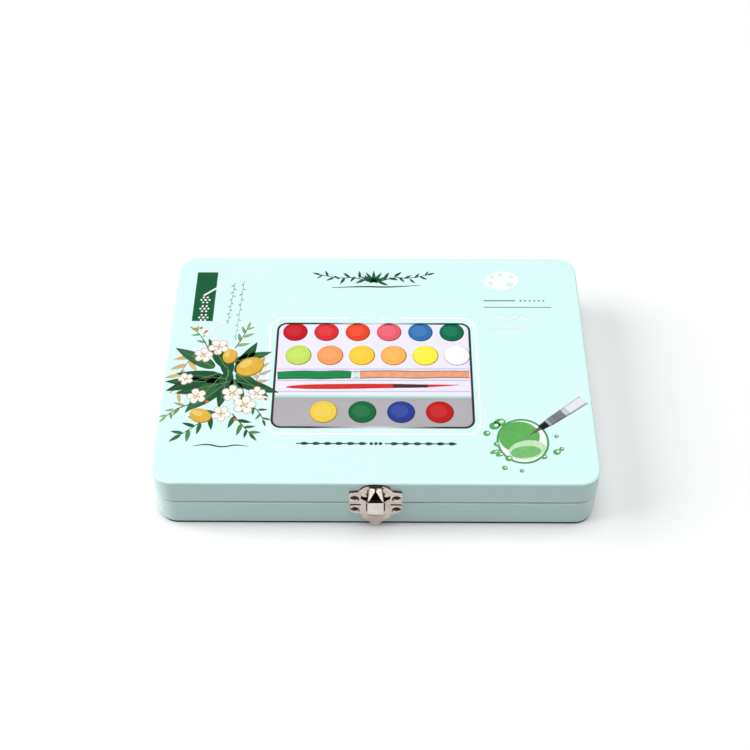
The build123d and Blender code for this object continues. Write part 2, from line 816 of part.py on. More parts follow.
def hinge_leaf_set(up, knuckle_spans):
    """Two hinge leaves with their knuckles: up is 1 for the lid's leaves and -1 for the base's."""
    leaf_edge = seam_z + up * (hinge_knuckle_radius + hinge_wall_gap)
    leaf_middle = leaf_edge + up * hinge_leaf_height / 2
    with BuildPart() as leaves:
        for side in (-1, 1):
            with BuildSketch(Plane((side * hinge_offset, half_depth, leaf_middle), (1, 0, 0), (0, 1, 0))):
                RectangleRounded(2 * hinge_half_width, hinge_leaf_height, hinge_leaf_round)
            extrude(amount=hinge_leaf)
            for start, end in knuckle_spans:
                with BuildSketch(Plane.YZ.offset(side * hinge_offset + start)):
                    with Locations((hinge_y, seam_z)):
                        Circle(hinge_knuckle_radius)
                    with BuildLine():
                        Polyline(
                            (half_depth, leaf_edge + up * hinge_leaf_round),
                            (half_depth + hinge_leaf, leaf_edge + up * hinge_leaf_round),
                            (half_depth + hinge_leaf, seam_z + up * hinge_knuckle_radius),
                            (hinge_y, seam_z + up * hinge_knuckle_radius),
                            (hinge_y, seam_z + up * (hinge_knuckle_radius - hinge_leaf)),
                            (half_depth, seam_z + up * (hinge_knuckle_radius - hinge_leaf)),
                            close=True,
                        )
                    make_face()
                    with Locations((hinge_y, seam_z)):
                        Circle(hinge_pin_radius + pin_fit, mode=Mode.SUBTRACT)
                extrude(amount=end - start)
        places = hinge_lid_rivets_at if up > 0 else hinge_base_rivets_at
        add(rivet_holes(places, 1), mode=Mode.SUBTRACT)
    return leaves.part


middle_knuckle = [(-hinge_knuckle_half, hinge_knuckle_half)]
outer_knuckles = [
    (-hinge_half_width, -hinge_knuckle_half - hinge_knuckle_gap),
    (hinge_knuckle_half + hinge_knuckle_gap, hinge_half_width),
]
with BuildPart() as hinge_lid_leaves:
    add(hinge_leaf_set(1, middle_knuckle))
hinge_lid_leaves.part.label = "hinge_lid_leaves"
export_step(hinge_lid_leaves.part, "parts/hinge_lid_leaves.step")

with BuildPart() as hinge_base_leaves:
    add(hinge_leaf_set(-1, outer_knuckles))
hinge_base_leaves.part.label = "hinge_base_leaves"
export_step(hinge_base_leaves.part, "parts/hinge_base_leaves.step")

with BuildPart() as hinge_pins:
    for side in (-1, 1):
        with BuildSketch(Plane.YZ.offset(side * hinge_offset)):
            with Locations((hinge_y, seam_z)):
                Circle(hinge_pin_radius)
        extrude(amount=hinge_half_width + hinge_pin_overhang, both=True)
hinge_pins.part.label = "hinge_pins"
export_step(hinge_pins.part, "parts/hinge_pins.step")

with BuildPart() as hinge_lid_rivets:
    for x, z in hinge_lid_rivets_at:
        add(rivet(x, z, 1, hinge_leaf, hinge_rivet_head, hinge_rivet_dome))
hinge_lid_rivets.part.label = "hinge_lid_rivets"
export_step(hinge_lid_rivets.part, "parts/hinge_lid_rivets.step")

with BuildPart() as hinge_base_rivets:
    for x, z in hinge_base_rivets_at:
        add(rivet(x, z, 1, hinge_leaf, hinge_rivet_head, hinge_rivet_dome))
hinge_base_rivets.part.label = "hinge_base_rivets"
export_step(hinge_base_rivets.part, "parts/hinge_base_rivets.step")

print("case", tin_width, tin_depth, round(tin_height, 2), "hinge axis", round(hinge_y, 3), round(seam_z, 3))
print("hasp axis", round(-half_depth - pin_stand, 3), pin_z)
print("well floor", round(well_floor, 3), "deck", round(deck_top, 3), "palette", round(palette_bottom, 3))
print("cake pitch", round(cake_pitch_x, 3), round(cake_pitch_y, 3), "first cake", cake_places[0])
print("tools from", round(tool_x, 3), "pencil", round(pencil_y, 3), "brush", round(brush_y, 3))
print("sponge", round(sponge_x, 3), round(sponge_y, 3), "is", round(sponge_length, 3), "long")
print("mixing wells", round(mixing_length, 3), round(mixing_width, 3))
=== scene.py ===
# %% [markdown]
# # A watercolour paint tin
# A flat pressed steel tin, enamelled mint green, with a nickel catch in front and two hinges at the back. Its
# solids come packed from CAD, in metres, with +Z up and the catch towards -Y. This file dresses them.
# Each step below says what a piece is on the real tin, how it could be made, and why it is made this way.

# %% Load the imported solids
import json
import math
import random

import bmesh
import bpy
from mathutils import Euler, Matrix, Vector


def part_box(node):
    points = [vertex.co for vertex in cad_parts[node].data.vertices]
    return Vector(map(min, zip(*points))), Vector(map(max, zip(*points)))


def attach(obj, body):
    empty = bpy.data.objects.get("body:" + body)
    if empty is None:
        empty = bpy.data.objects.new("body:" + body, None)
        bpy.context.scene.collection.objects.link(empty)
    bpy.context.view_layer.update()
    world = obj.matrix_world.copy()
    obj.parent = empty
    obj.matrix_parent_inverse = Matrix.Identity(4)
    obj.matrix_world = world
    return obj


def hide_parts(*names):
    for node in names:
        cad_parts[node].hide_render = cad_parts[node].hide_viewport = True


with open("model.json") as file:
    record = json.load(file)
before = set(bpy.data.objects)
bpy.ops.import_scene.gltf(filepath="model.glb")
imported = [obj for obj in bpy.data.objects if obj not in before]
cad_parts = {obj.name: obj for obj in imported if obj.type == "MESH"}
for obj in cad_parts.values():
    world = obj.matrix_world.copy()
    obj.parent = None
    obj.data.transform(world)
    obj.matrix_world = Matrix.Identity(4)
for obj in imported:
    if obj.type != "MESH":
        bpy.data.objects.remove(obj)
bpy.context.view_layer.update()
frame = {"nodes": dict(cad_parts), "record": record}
mm = 0.001
scene = bpy.context.scene

# %% [markdown]
# ## The camera
# The photograph looks down on the tin from the front, from about three tin widths away. A camera could be
# placed by eye, but its place was worked out from the edges of the tin in the photograph instead, so that
# the model's edges fall within about a pixel of theirs.

# %% Camera
eye = (0.00378, -0.46586, 0.57796)
look_down, look_aside, tilt = 49.87, 0.57, -0.24
camera_data = bpy.data.cameras.new("camera")
camera_data.sensor_width = 36
camera_data.lens = 62.875
camera = bpy.data.objects.new("camera", camera_data)
scene.collection.objects.link(camera)
camera.location = eye
aim = Euler((math.radians(90 - look_down), 0, math.radians(look_aside))).to_matrix()
camera.rotation_euler = (aim @ Matrix.Rotation(math.radians(tilt), 3, "Z")).to_euler()
scene.camera = camera
scene.view_settings.view_transform = "Standard"
print("camera at", [round(value, 3) for value in camera.location])

# %% [markdown]
# ## Helpers for shader nodes
# A material is a small graph of nodes. Building one takes the same few calls each time, so they are kept in
# short functions. One fills the inputs of a node and one adds a node. The next add what nearly every finish
# here is made of: clouds of noise, a value stretched to another range, a blend of two colours, bumps, and a
# band of colour. The last starts a material that knows where on its piece it is, so its pattern moves along.


# %% Node helpers
def feed(target, **values):
    """Fills inputs, named as in in_Scale or in_1. A node, or one output of a node, is joined to the input."""
    for name, value in values.items():
        key = name[3:]
        socket = target.inputs[int(key) if key.isdigit() else key.replace("_", " ")]
        if isinstance(value, bpy.types.Node):
            value = value.outputs[0]
        if isinstance(value, bpy.types.NodeSocket):
            target.id_data.links.new(value, socket)
        else:
            socket.default_value = value


def node(tree, kind, **values):
    """Adds a node. Names that start with in_ are its inputs, and all others are its properties."""
    made = tree.nodes.new("ShaderNode" + kind)
    for name, value in values.items():
        if name.startswith("in_"):
            feed(made, **{name: value})
        else:
            setattr(made, name, value)
    return made


def noise(where, scale, detail, **values):
    """Grey clouds in space."""
    return node(where.id_data, "TexNoise", in_Vector=where, in_Scale=scale, in_Detail=detail, **values)


def stretch(value, low, high, to_low=0.0, to_high=1.0):
    """A value moved from one range to another."""
    return node(value.id_data, "MapRange", in_0=value, in_1=low, in_2=high, in_3=to_low, in_4=to_high)


def blend(share, first, second):
    """A mixture of two colours."""
    return node(share.id_data, "MixRGB", in_0=share, in_1=first, in_2=second)


def bumps(height, strength, distance):
    """A surface that rises where a value is high."""
    return node(height.id_data, "Bump", in_Height=height, in_Strength=strength, in_Distance=distance)


def ramp(value, *stops, steps="LINEAR"):
    """Turns a value into a colour between two stops, each of which is a place and a colour."""
    made = node(value.id_data, "ValToRGB", in_Fac=value)
    made.color_ramp.interpolation = steps
    for element, (place, colour) in zip(made.color_ramp.elements, stops):
        element.position = place
        element.color = colour
    return made


def surface(name, **values):
    """Starts a material, and gives back it, its shader and the coordinates on its piece."""
    made = bpy.data.materials.new(name)
    made.use_nodes = True
    shader = made.node_tree.nodes["Principled BSDF"]
    feed(shader, **values)
    return made, shader, node(made.node_tree, "TexCoord").outputs["Object"]


# %% [markdown]
# ## Light, floor and backdrop
# The tin was photographed on white, with a large soft light overhead and a window-like one low on the left.
# Its top is bright, its front lies in shade, and a long faint shadow falls to the right. Two big area lamps
# give that, weaker ones low on both sides light the corners, and a small one is only there to be mirrored in
# the lid's rounded edge. The strengths follow from how the floor's tone rises with its distance from the tin
# in the photograph, and the sky does the rest. The floor and sky are white to the camera. In reflections the
# sky is bright at the horizon and black above it, as in a studio, because polished metal shows only what it
# mirrors, and under an all-white sky the catch would look like plastic.

# %% World
world = bpy.data.worlds.new("studio")
scene.world = world
world.use_nodes = True
sky = world.node_tree
sky.nodes.clear()
way = node(sky, "SeparateXYZ", in_0=node(sky, "TexCoord").outputs["Generated"])
glow = ramp(way.outputs["Z"], (0.13, (1.0, 1.0, 1.0, 1)), (0.24, (0.015, 0.015, 0.015, 1)))
ray = node(sky, "LightPath").outputs
ambient = node(sky, "Background", in_Color=(0.97, 0.98, 1.0, 1), in_Strength=0.11)
mirrored = node(sky, "Background", in_Color=glow, in_Strength=1.6)
white = node(sky, "Background", in_Color=(1, 1, 1, 1), in_Strength=1.0)
unseen = node(sky, "MixShader", in_0=ray["Is Glossy Ray"], in_1=ambient, in_2=mirrored)
seen = node(sky, "Math", operation="MAXIMUM", in_0=ray["Is Camera Ray"], in_1=ray["Is Transmission Ray"])
whole_sky = node(sky, "MixShader", in_0=seen, in_1=unseen, in_2=white)
node(sky, "OutputWorld", in_Surface=whole_sky)
print("sky", len(sky.nodes), "nodes")

# %% Lamps


def lamp(name, place, size, watts, mirrored=False, lights=True):
    """A square area lamp that points at the tin. Polish shows it if it is mirrored."""
    data = bpy.data.lights.new(name, "AREA")
    data.shape = "SQUARE"
    data.size = size
    data.energy = watts
    light = bpy.data.objects.new(name, data)
    scene.collection.objects.link(light)
    light.location = place
    light.rotation_euler = (-Vector(place)).to_track_quat("-Z", "Y").to_euler()
    light.visible_glossy = mirrored
    light.visible_diffuse = lights
    print("lamp", name, watts, "W")


lamp("over", (0.3, -0.1, 2.76), 2.4, 55.5)
lamp("window", (-2.30, 0.15, 1.50), 2.2, 56)
lamp("side", (-1.58, -0.05, 0.64), 1.2, 3.8, mirrored=True)
lamp("right", (1.54, -0.1, 0.72), 1.4, 3.2, mirrored=True)
lamp("glint", (-1.62, 0.05, 2.05), 0.6, 40, mirrored=True, lights=False)

# %% Floor
bpy.ops.object.select_all(action="DESELECT")
bpy.ops.mesh.primitive_plane_add(size=60, location=(0, 0, -0.0001))
floor = bpy.context.object
floor.name = "floor"
floor_paint, shader, where = surface("floor_white")
tree = floor_paint.node_tree
tree.nodes.remove(shader)
ray = node(tree, "LightPath").outputs
tone = blend(ray["Is Diffuse Ray"], (0.98, 0.98, 0.98, 1), (0.47, 0.47, 0.47, 1))
matt = node(tree, "BsdfDiffuse", in_Color=tone)
lit = node(tree, "Emission", in_Color=(1, 1, 1, 1), in_Strength=1.0)
# Far from the tin the floor gives its own white, sooner in reflections than to the camera
from_tin = node(tree, "VectorMath", operation="LENGTH", in_0=where).outputs["Value"]
far_shares = []
for kind, near, far in [("Is Glossy Ray", 0.25, 1.2), ("Is Camera Ray", 0.9, 2.0)]:
    afar = stretch(from_tin, near, far)
    far_shares.append(node(tree, "Math", operation="MULTIPLY", in_0=afar, in_1=ray[kind]))
far_share = node(tree, "Math", operation="MAXIMUM", in_0=far_shares[0], in_1=far_shares[1])
near_far = node(tree, "MixShader", in_0=far_share, in_1=matt, in_2=lit)
feed(tree.nodes["Material Output"], in_Surface=near_far)
floor.data.materials.append(floor_paint)
print("floor", len(tree.nodes), "nodes")

# %% [markdown]
# ## Enamel and nickel
# The case is tinplate under baked mint enamel, and the catch and hinges are steel under bright nickel. A
# single colour would do for either, but neither would look real. Enamel flows a little while it bakes, which
# leaves a faint orange peel, and its colour is never quite even. The base stands on a low foot whose raw edge
# has no enamel; its near-black colour is painted shade, the contact shadow under the tin. Nickel is pressed
# and tumbled, which leaves soft dents and clouds of finer and rougher polish. Darker and lighter copies of the
# nickel are painted light: painted shade in the corners and on upper rims, and a painted highlight where the
# catch mirrors the bright floor, brightest on the box of the catch.

# %% Mint enamel and the foot's raw edge with painted shade
enamel, shader, where = surface("mint_enamel", in_Coat_Weight=0.15, in_Coat_Roughness=0.15)
cloud = noise(where, 14.0, 4.0)
tone = blend(cloud, (0.684, 0.948, 0.912, 1), (0.702, 0.962, 0.926, 1))
satin = stretch(cloud, 0.3, 0.7, 0.30, 0.38)
peel = noise(where, 900.0, 2.0)
bump = bumps(peel, 0.08, 0.0002)
feed(shader, in_Base_Color=tone, in_Roughness=satin, in_Normal=bump)

# Near black: the foot's raw edge, painted as dark as the contact shadow under the tin
raw_edge_and_shade, shader, where = surface("raw_edge_and_shade", in_Roughness=0.6, in_Specular_IOR_Level=0.3)
stain = noise(where, 350.0, 4.0)
tone = blend(stain, (0.014, 0.015, 0.015, 1), (0.035, 0.037, 0.037, 1))
feed(shader, in_Base_Color=tone)
print("case", enamel.name, raw_edge_and_shade.name)

# %% Nickel


def plating(name, dark, light, smoothest, dullest, metal=1.0):
    """Nickel plate between two tones and two degrees of polish."""
    made, shader, where = surface(name, in_Metallic=metal)
    cloud = noise(where, 240.0, 4.0, in_Roughness=0.6)
    spread = stretch(cloud, 0.32, 0.68)
    tone = blend(spread, (*dark, 1), (*light, 1))
    polish = stretch(spread, 0, 1, dullest, smoothest)
    dents = noise(where, 420.0, 1.0)
    bump = bumps(dents, 0.12, 0.0003)
    feed(shader, in_Base_Color=tone, in_Roughness=polish, in_Normal=bump)
    return made


nickel = plating("nickel", (0.49, 0.405, 0.365), (0.62, 0.525, 0.48), 0.10, 0.20)
# A lighter copy of the nickel: painted highlight where the catch mirrors the bright floor
nickel_painted_highlight = plating("nickel_painted_highlight", (0.60, 0.53, 0.49), (0.72, 0.65, 0.61), 0.08, 0.14)
# A darker copy of the nickel: painted half shade on the chamfers below the box
nickel_half_shade = plating("nickel_half_shade", (0.34, 0.28, 0.25), (0.46, 0.385, 0.35), 0.16, 0.26)
# A near-black copy of the nickel: painted shade and painted dark reflection in corners and on rims
nickel_shade = plating("nickel_shade", (0.020, 0.018, 0.016), (0.07, 0.058, 0.05), 0.25, 0.40, metal=0.7)
print("metals", nickel.name, nickel_painted_highlight.name, nickel_half_shade.name, nickel_shade.name)

# %% [markdown]
# ## Helpers for modelling
# Modelling by hand means picking vertices, edges or faces and then running a tool on them. In code, a piece
# is picked by where it lies or which way it faces. The helpers also close a piece off: modifiers are applied
# and its place goes into its mesh, so that patterns on it keep still when it is moved or exported.


# %% Modelling helpers
def deselect():
    bpy.ops.object.select_all(action="DESELECT")


def make_active(obj):
    deselect()
    obj.select_set(True)
    bpy.context.view_layer.objects.active = obj
    return obj


def edit():
    """Enters edit mode with everything selected."""
    bpy.ops.object.mode_set(mode="EDIT")
    bpy.ops.mesh.select_all(action="SELECT")


def end_edit():
    bpy.ops.object.mode_set(mode="OBJECT")


def twin(obj):
    """A copy with its own mesh."""
    made = obj.copy()
    made.data = obj.data.copy()
    scene.collection.objects.link(made)
    return made


def pick(kind, test):
    """In edit mode, selects only those verts, edges or faces that pass a test."""
    mesh = bmesh.from_edit_mesh(bpy.context.object.data)
    bpy.ops.mesh.select_all(action="DESELECT")
    bpy.ops.mesh.select_mode(type={"verts": "VERT", "edges": "EDGE", "faces": "FACE"}[kind])
    for item in getattr(mesh, kind):
        if test(item):
            item.select_set(True)
    mesh.select_flush_mode()
    bmesh.update_edit_mesh(bpy.context.object.data)


def block(place, size, corner, segments):
    """A block whose upright edges are bevelled, left in edit mode."""
    deselect()
    bpy.ops.mesh.primitive_cube_add(size=1, location=place, scale=size)
    bpy.ops.object.transform_apply()
    edit()
    pick("edges", lambda edge: abs(edge.verts[0].co.z - edge.verts[1].co.z) > mm)
    bpy.ops.mesh.bevel(offset=corner, segments=segments, affect="EDGES")
    return bpy.context.object


def extrude_up(height):
    """Extrudes the selected face upwards, or downwards by a negative height."""
    bpy.ops.mesh.extrude_region_move(TRANSFORM_OT_translate={"value": (0, 0, height)})


def finish_modifier(kind, **values):
    """Adds a modifier to the active object, sets it and applies it."""
    bpy.ops.object.modifier_add(type=kind)
    made = bpy.context.object.modifiers[-1]
    for name, value in values.items():
        setattr(made, name, value)
    bpy.ops.object.modifier_apply(modifier=made.name)


def smooth(obj, angle=30):
    """Smooth shading up to an angle, with the large flat faces kept flat."""
    make_active(obj)
    bpy.ops.object.shade_smooth_by_angle(angle=math.radians(angle))
    finish_modifier("WEIGHTED_NORMAL", keep_sharp=True)


def finish_faces(obj, finish, test):
    """Gives another finish to the faces that pass a test of their centre, in millimetres, and normal."""
    if finish.name not in obj.data.materials:
        obj.data.materials.append(finish)
    place = obj.data.materials.find(finish.name)
    for face in obj.data.polygons:
        if test(face.center / mm, face.normal):
            face.material_index = place


def add_piece(obj, name, body, material):
    """Names a finished piece, puts its place into its mesh and hangs it under the empty of its body."""
    make_active(obj)
    bpy.ops.object.transform_apply()
    obj.name = name
    if material:
        obj.data.materials.clear()
        obj.data.materials.append(material)
    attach(obj, body)
    return obj


# %% [markdown]
# ## The two halves of the case
# Each half is drawn from tinplate in a press: a shallow tray with round corners, whose raw edge is folded
# inwards so that nobody cuts a finger. The solid from CAD has that shape, but its corners are made of flat
# facets that the light would show. So each half is modelled again from a cube: its upright edges are
# bevelled, its open face is inset for the folded rim, and extruding that face inwards leaves the wall.

# %% Case halves
tin_width, tin_depth = 230 * mm, 162 * mm
seam_low, seam_high = 18.65 * mm, 19.3 * mm
lid_top = 35.8 * mm
corner_radius = 11 * mm
hem_depth, hem_height, hem_roll = 1.4 * mm, 1.6 * mm, 0.9 * mm
sheet = 0.4 * mm
foot_height, foot_inset = 1.8 * mm, 0.1 * mm
tiny = 0.01 * mm


def at_height(item, height):
    """Whether an edge or a face lies level at a height."""
    return all(abs(vert.co.z - height) < tiny for vert in item.verts)


def case_half(closed, opening, edge_radius, foot=False):
    """A shallow tray from the height of its closed face to that of its opening. A foot reaches the table."""
    inward = 1 if closed > opening else -1
    height = abs(closed - opening)
    half = block((0, 0, (closed + opening) / 2), (tin_width, tin_depth, height), corner_radius, 16)
    pick("faces", lambda face: at_height(face, opening))
    bpy.ops.mesh.inset(thickness=hem_depth)
    extrude_up(inward * hem_height)
    spread = 2 * (hem_depth - sheet)
    wider = (1 + spread / (tin_width - 2 * hem_depth), 1 + spread / (tin_depth - 2 * hem_depth), 1)
    bpy.ops.mesh.extrude_region_move()
    bpy.ops.transform.resize(value=wider)
    extrude_up(inward * (height - hem_height - sheet))
    pick("edges", lambda edge: at_height(edge, closed))
    bpy.ops.mesh.bevel(offset=edge_radius, segments=5, affect="EDGES")
    if foot:
        pick("faces", lambda face: at_height(face, closed))
        bpy.ops.mesh.inset(thickness=foot_inset)
        extrude_up(-closed)
    pick("edges", lambda edge: at_height(edge, opening) and edge.calc_face_angle(0) > 1)
    bpy.ops.mesh.bevel(offset=hem_roll, segments=4, affect="EDGES")
    end_edit()
    smooth(half)
    return half


lid = add_piece(case_half(lid_top, seam_high, 1.2 * mm), "lid_enamel", "lid", enamel)
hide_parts("lid_shell")
base_half = case_half(foot_height, seam_low, 0.5 * mm, foot=True)
base = add_piece(base_half, "base_enamel", "base", enamel)
# The foot gets the near-black finish, which is painted contact shadow
finish_faces(base, raw_edge_and_shade, lambda at, facing: at.z < foot_height / mm - 0.1)
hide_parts("base_shell")
print("lid", len(lid.data.polygons), "base", len(base.data.polygons), "faces")

# %% [markdown]
# ## Printing inks
# The lid is printed before it is pressed. The real print could be an image texture, but an image is bound to
# one resolution and one file. Here every printed shape is a real, paper-thin patch of ink, a hundredth of a
# millimetre thick. Its ink is a little lighter and darker from place to place, as on real tinplate.


# %% Inks
def srgb(red, green, blue):
    """A colour as a paint program names it, turned into the linear light that shaders use."""
    linear = [(part / 255 / 12.92) if part < 11 else ((part / 255 + 0.055) / 1.055) ** 2.4
              for part in (red, green, blue)]
    return (*linear, 1)


def tint(colour, share, lift=0.0):
    """A darker or lighter colour of the same kind."""
    return (*[min(1, part * share + lift) for part in colour[:3]], 1)


inks = {}


def ink(red, green, blue, mottle=0.06, grain=900):
    """A printing ink whose colour wavers by the share mottle. The same ink is mixed only once."""
    key = f"ink_{red}_{green}_{blue}"
    if key not in inks:
        inks[key], shader, where = surface(key, in_Roughness=0.36)
        cloud = noise(where, grain, 3.0, in_Roughness=0.6)
        spread = stretch(cloud, 0.3, 0.7)
        colour = srgb(red, green, blue)
        mixed = blend(spread, tint(colour, 1 - mottle), tint(colour, 1 + mottle))
        feed(shader, in_Base_Color=mixed)
    return inks[key]


# %% [markdown]
# ## Cutting the printed shapes
# Three kinds of shape make up the print: patches that start as a rectangle, strokes that follow a line, and
# stamps, which are one disc, leaf or petal used again and again. A stroke is a curve with a round thickness
# that is pressed flat. All lie on the lid at slightly different heights, so none hides another.

# %% Print helpers
ink_film = 0.012 * mm


def level(number):
    """The height of a print layer above the lid."""
    return lid_top + (0.004 + 0.005 * number) * mm


def patch(x0, y0, x1, y1, corner, layer, material):
    """A flat rectangle with round corners, in millimetres on the lid."""
    deselect()
    bpy.ops.mesh.primitive_plane_add(size=1, location=((x0 + x1) / 2 * mm, (y0 + y1) / 2 * mm, level(layer)))
    flat = bpy.context.object
    flat.scale = ((x1 - x0) * mm, (y1 - y0) * mm, 1)
    bpy.ops.object.transform_apply()
    if corner:
        edit()
        bpy.ops.mesh.bevel(offset=corner * mm, segments=8, affect="VERTICES")
        end_edit()
    flat.data.materials.append(material)
    return flat


def ring(x0, y0, x1, y1, corner, width, layer, material):
    """A rounded rectangle's outline: the patch is inset and its middle is taken out."""
    flat = patch(x0, y0, x1, y1, corner, layer, material)
    edit()
    bpy.ops.mesh.inset(thickness=width * mm)
    bpy.ops.mesh.delete(type="FACE")
    end_edit()
    return flat


def stroke(points, widths, layer, material, kind="NURBS"):
    """A drawn line through points (x, y) in millimetres, with one width or a width for each point."""
    if not isinstance(widths, list):
        widths = [widths] * len(points)
    data = bpy.data.curves.new("stroke", "CURVE")
    data.dimensions = "3D"
    data.bevel_depth = 1.0
    data.bevel_resolution = 1
    data.resolution_u = 5
    data.use_fill_caps = True
    line = data.splines.new(kind)
    line.points.add(len(points) - 1)
    for point, (x, y), width in zip(line.points, points, widths):
        point.co = (x * mm, y * mm, 0, 1)
        point.radius = width / 2 * mm
    if kind == "NURBS":
        line.order_u = 3
        line.use_endpoint_u = True
    drawn = bpy.data.objects.new("stroke", data)
    scene.collection.objects.link(drawn)
    make_active(drawn)
    bpy.ops.object.convert(target="MESH")
    drawn = bpy.context.object
    drawn.scale.z = 2 * ink_film / max(widths) / mm
    drawn.location.z = level(layer)
    bpy.ops.object.transform_apply()
    drawn.data.materials.append(material)
    return drawn


def stamp(shape, x, y, length, width, turn, layer, *materials):
    """A copy of a shape that is one unit long and wide, put down at (x, y)."""
    made = twin(shape)
    place = Matrix.Translation((x * mm, y * mm, level(layer)))
    spin = Matrix.Rotation(math.radians(turn), 4, "Z")
    size = Matrix.Diagonal((length * mm, width * mm, 1, 1))
    made.data.transform(place @ spin @ size)
    made.data.materials.clear()
    for material in materials:
        made.data.materials.append(material)
    return made


def print_piece(parts, name, thicken=True):
    """Joins shapes into one printed piece on the lid and gives them the thickness of ink."""
    deselect()
    for part in parts:
        part.select_set(True)
    bpy.context.view_layer.objects.active = parts[0]
    if len(parts) > 1:
        bpy.ops.object.join()
    joined = make_active(bpy.context.object)
    if thicken:
        finish_modifier("SOLIDIFY", thickness=ink_film, offset=-1)
    add_piece(joined, name, "lid", None)
    print(name, len(joined.data.polygons), "faces", len(joined.data.materials), "inks")


# %% [markdown]
# ## The shapes that repeat
# A disc, an octagon, a leaf and a petal are each modelled once. The leaf is a disc pulled out to a point at
# its tip and cut along its middle, so that one half can be printed darker than the other.

# %% Stamp shapes


def unit_disc(sides, middle=0.0):
    """A flat disc that is one unit across."""
    deselect()
    bpy.ops.mesh.primitive_circle_add(vertices=sides, radius=0.5, fill_type="NGON", location=(middle, 0, 0))
    bpy.ops.object.transform_apply()
    return bpy.context.object


disc = unit_disc(32)
octagon = unit_disc(8)
petal = unit_disc(16, 0.5)
for vert in petal.data.vertices:
    vert.co.y *= 0.45 + 0.75 * vert.co.x

leaf = unit_disc(24, 0.5)
for vert in leaf.data.vertices:
    reach = vert.co.x
    vert.co.y *= 0.86 * math.sqrt(max(0.0, 1 - reach)) + 0.25 * reach * (1 - reach)
edit()
bpy.ops.mesh.bisect(plane_co=(0, 0, 0), plane_no=(0, 1, 0))
end_edit()
for face in leaf.data.polygons:
    face.material_index = 0 if face.center.y > 0 else 1

for shape in (disc, octagon, petal, leaf):
    scene.collection.objects.unlink(shape)
print("leaf", len(leaf.data.polygons), "halves, petal", len(petal.data.vertices), "points")

# %% [markdown]
# ## The window panel
# The middle of the lid shows what paints look like: a pale panel in a dark frame, with round dabs of colour,
# two long brush-strokes and a grey band with four larger dabs. Round it runs a white line that is left open
# at the top. The frame is nearly as pale as the panel in the middle of its long sides.

# %% Panel and frames
left, bottom, right, top = -54.6, -44.4, 51.1, 28.3
band_top = -24.4
lilac = ink(238, 233, 250, mottle=0.02, grain=60)
white_ink = ink(253, 254, 254, mottle=0.01)
panel = [patch(left, bottom, right, top, 4.6, 0, lilac)]
panel.append(patch(left + 0.2, bottom + 0.2, right - 0.2, band_top, 0, 1, ink(176, 173, 178, 0.04, 40)))
edit()
pick("verts", lambda vert: vert.co.y < -30 * mm)
bpy.ops.mesh.bevel(offset=4.4 * mm, segments=8, affect="VERTICES")
end_edit()
panel.append(patch(left + 0.3, band_top - 0.2, right - 0.3, band_top + 1.2, 0, 2, ink(165, 228, 210)))
print_piece(panel, "print_panel")

dark_frame, shader, where = surface("ink_frame", in_Roughness=0.36)
tree = dark_frame.node_tree
place = node(tree, "SeparateXYZ", in_0=where)
aside = node(tree, "Math", operation="ABSOLUTE", in_0=place.outputs["X"])
fade = ramp(aside, (0.004, srgb(214, 206, 216)), (0.034, srgb(52, 44, 50)))
feed(shader, in_Base_Color=fade)
print_piece([ring(left - 1, bottom - 1, right + 1, top + 1, 5.6, 1.25, 3, dark_frame)], "print_frame")

outline = ring(-59.4, -49.5, 55.4, 33.3, 8.4, 0.85, 0, white_ink)
edit()
for cut in (-15.5, 13.5):
    bpy.ops.mesh.select_all(action="SELECT")
    bpy.ops.mesh.bisect(plane_co=(cut * mm, 0, 0), plane_no=(1, 0, 0))


def in_gap(face):
    middle = face.calc_center_median()
    return abs(middle.x + mm) < 14 * mm and middle.y > 30 * mm


pick("faces", in_gap)
bpy.ops.mesh.delete(type="FACE")
end_edit()
print_piece([outline], "print_outline")

# %% Dabs of paint
dabs = []


def dab(x, y, across, colour):
    """One round dab of paint: a dark edge, its colour, and a thinner, lighter pool in the middle."""
    shade = [int(part * 0.62) for part in colour]
    pool = [min(255, int(part + (255 - part) * 0.10)) for part in colour]
    dabs.append(stamp(disc, x + 0.2, y - 0.25, across + 0.7, across + 0.6, 0, 2, ink(*shade)))
    dabs.append(stamp(disc, x, y, across, across, 0, 3, ink(*colour)))
    dabs.append(stamp(disc, x - 0.6, y + 0.5, across * 0.66, across * 0.6, 0, 4, ink(*pool)))


reds_to_greens = [(198, 22, 32), (222, 42, 48), (240, 66, 32), (236, 92, 110), (48, 112, 178), (10, 108, 72)]
yellows = [(198, 224, 92), (255, 158, 94), (255, 206, 52), (255, 180, 86), (255, 238, 62), (252, 250, 252)]
large = [(240, 204, 70), (24, 104, 58), (42, 62, 148), (192, 26, 26)]
for start, pitch, y, across, colours in [
    (-45.5, 17.4, 22.6, 13.0, reds_to_greens),
    (-43.0, 17.4, 5.4, 13.6, yellows),
    (-28.0, 20.5, -34.2, 14.2, large),
]:
    for number, colour in enumerate(colours):
        dab(start + number * pitch, y, across, colour)
print_piece(dabs, "print_dabs")

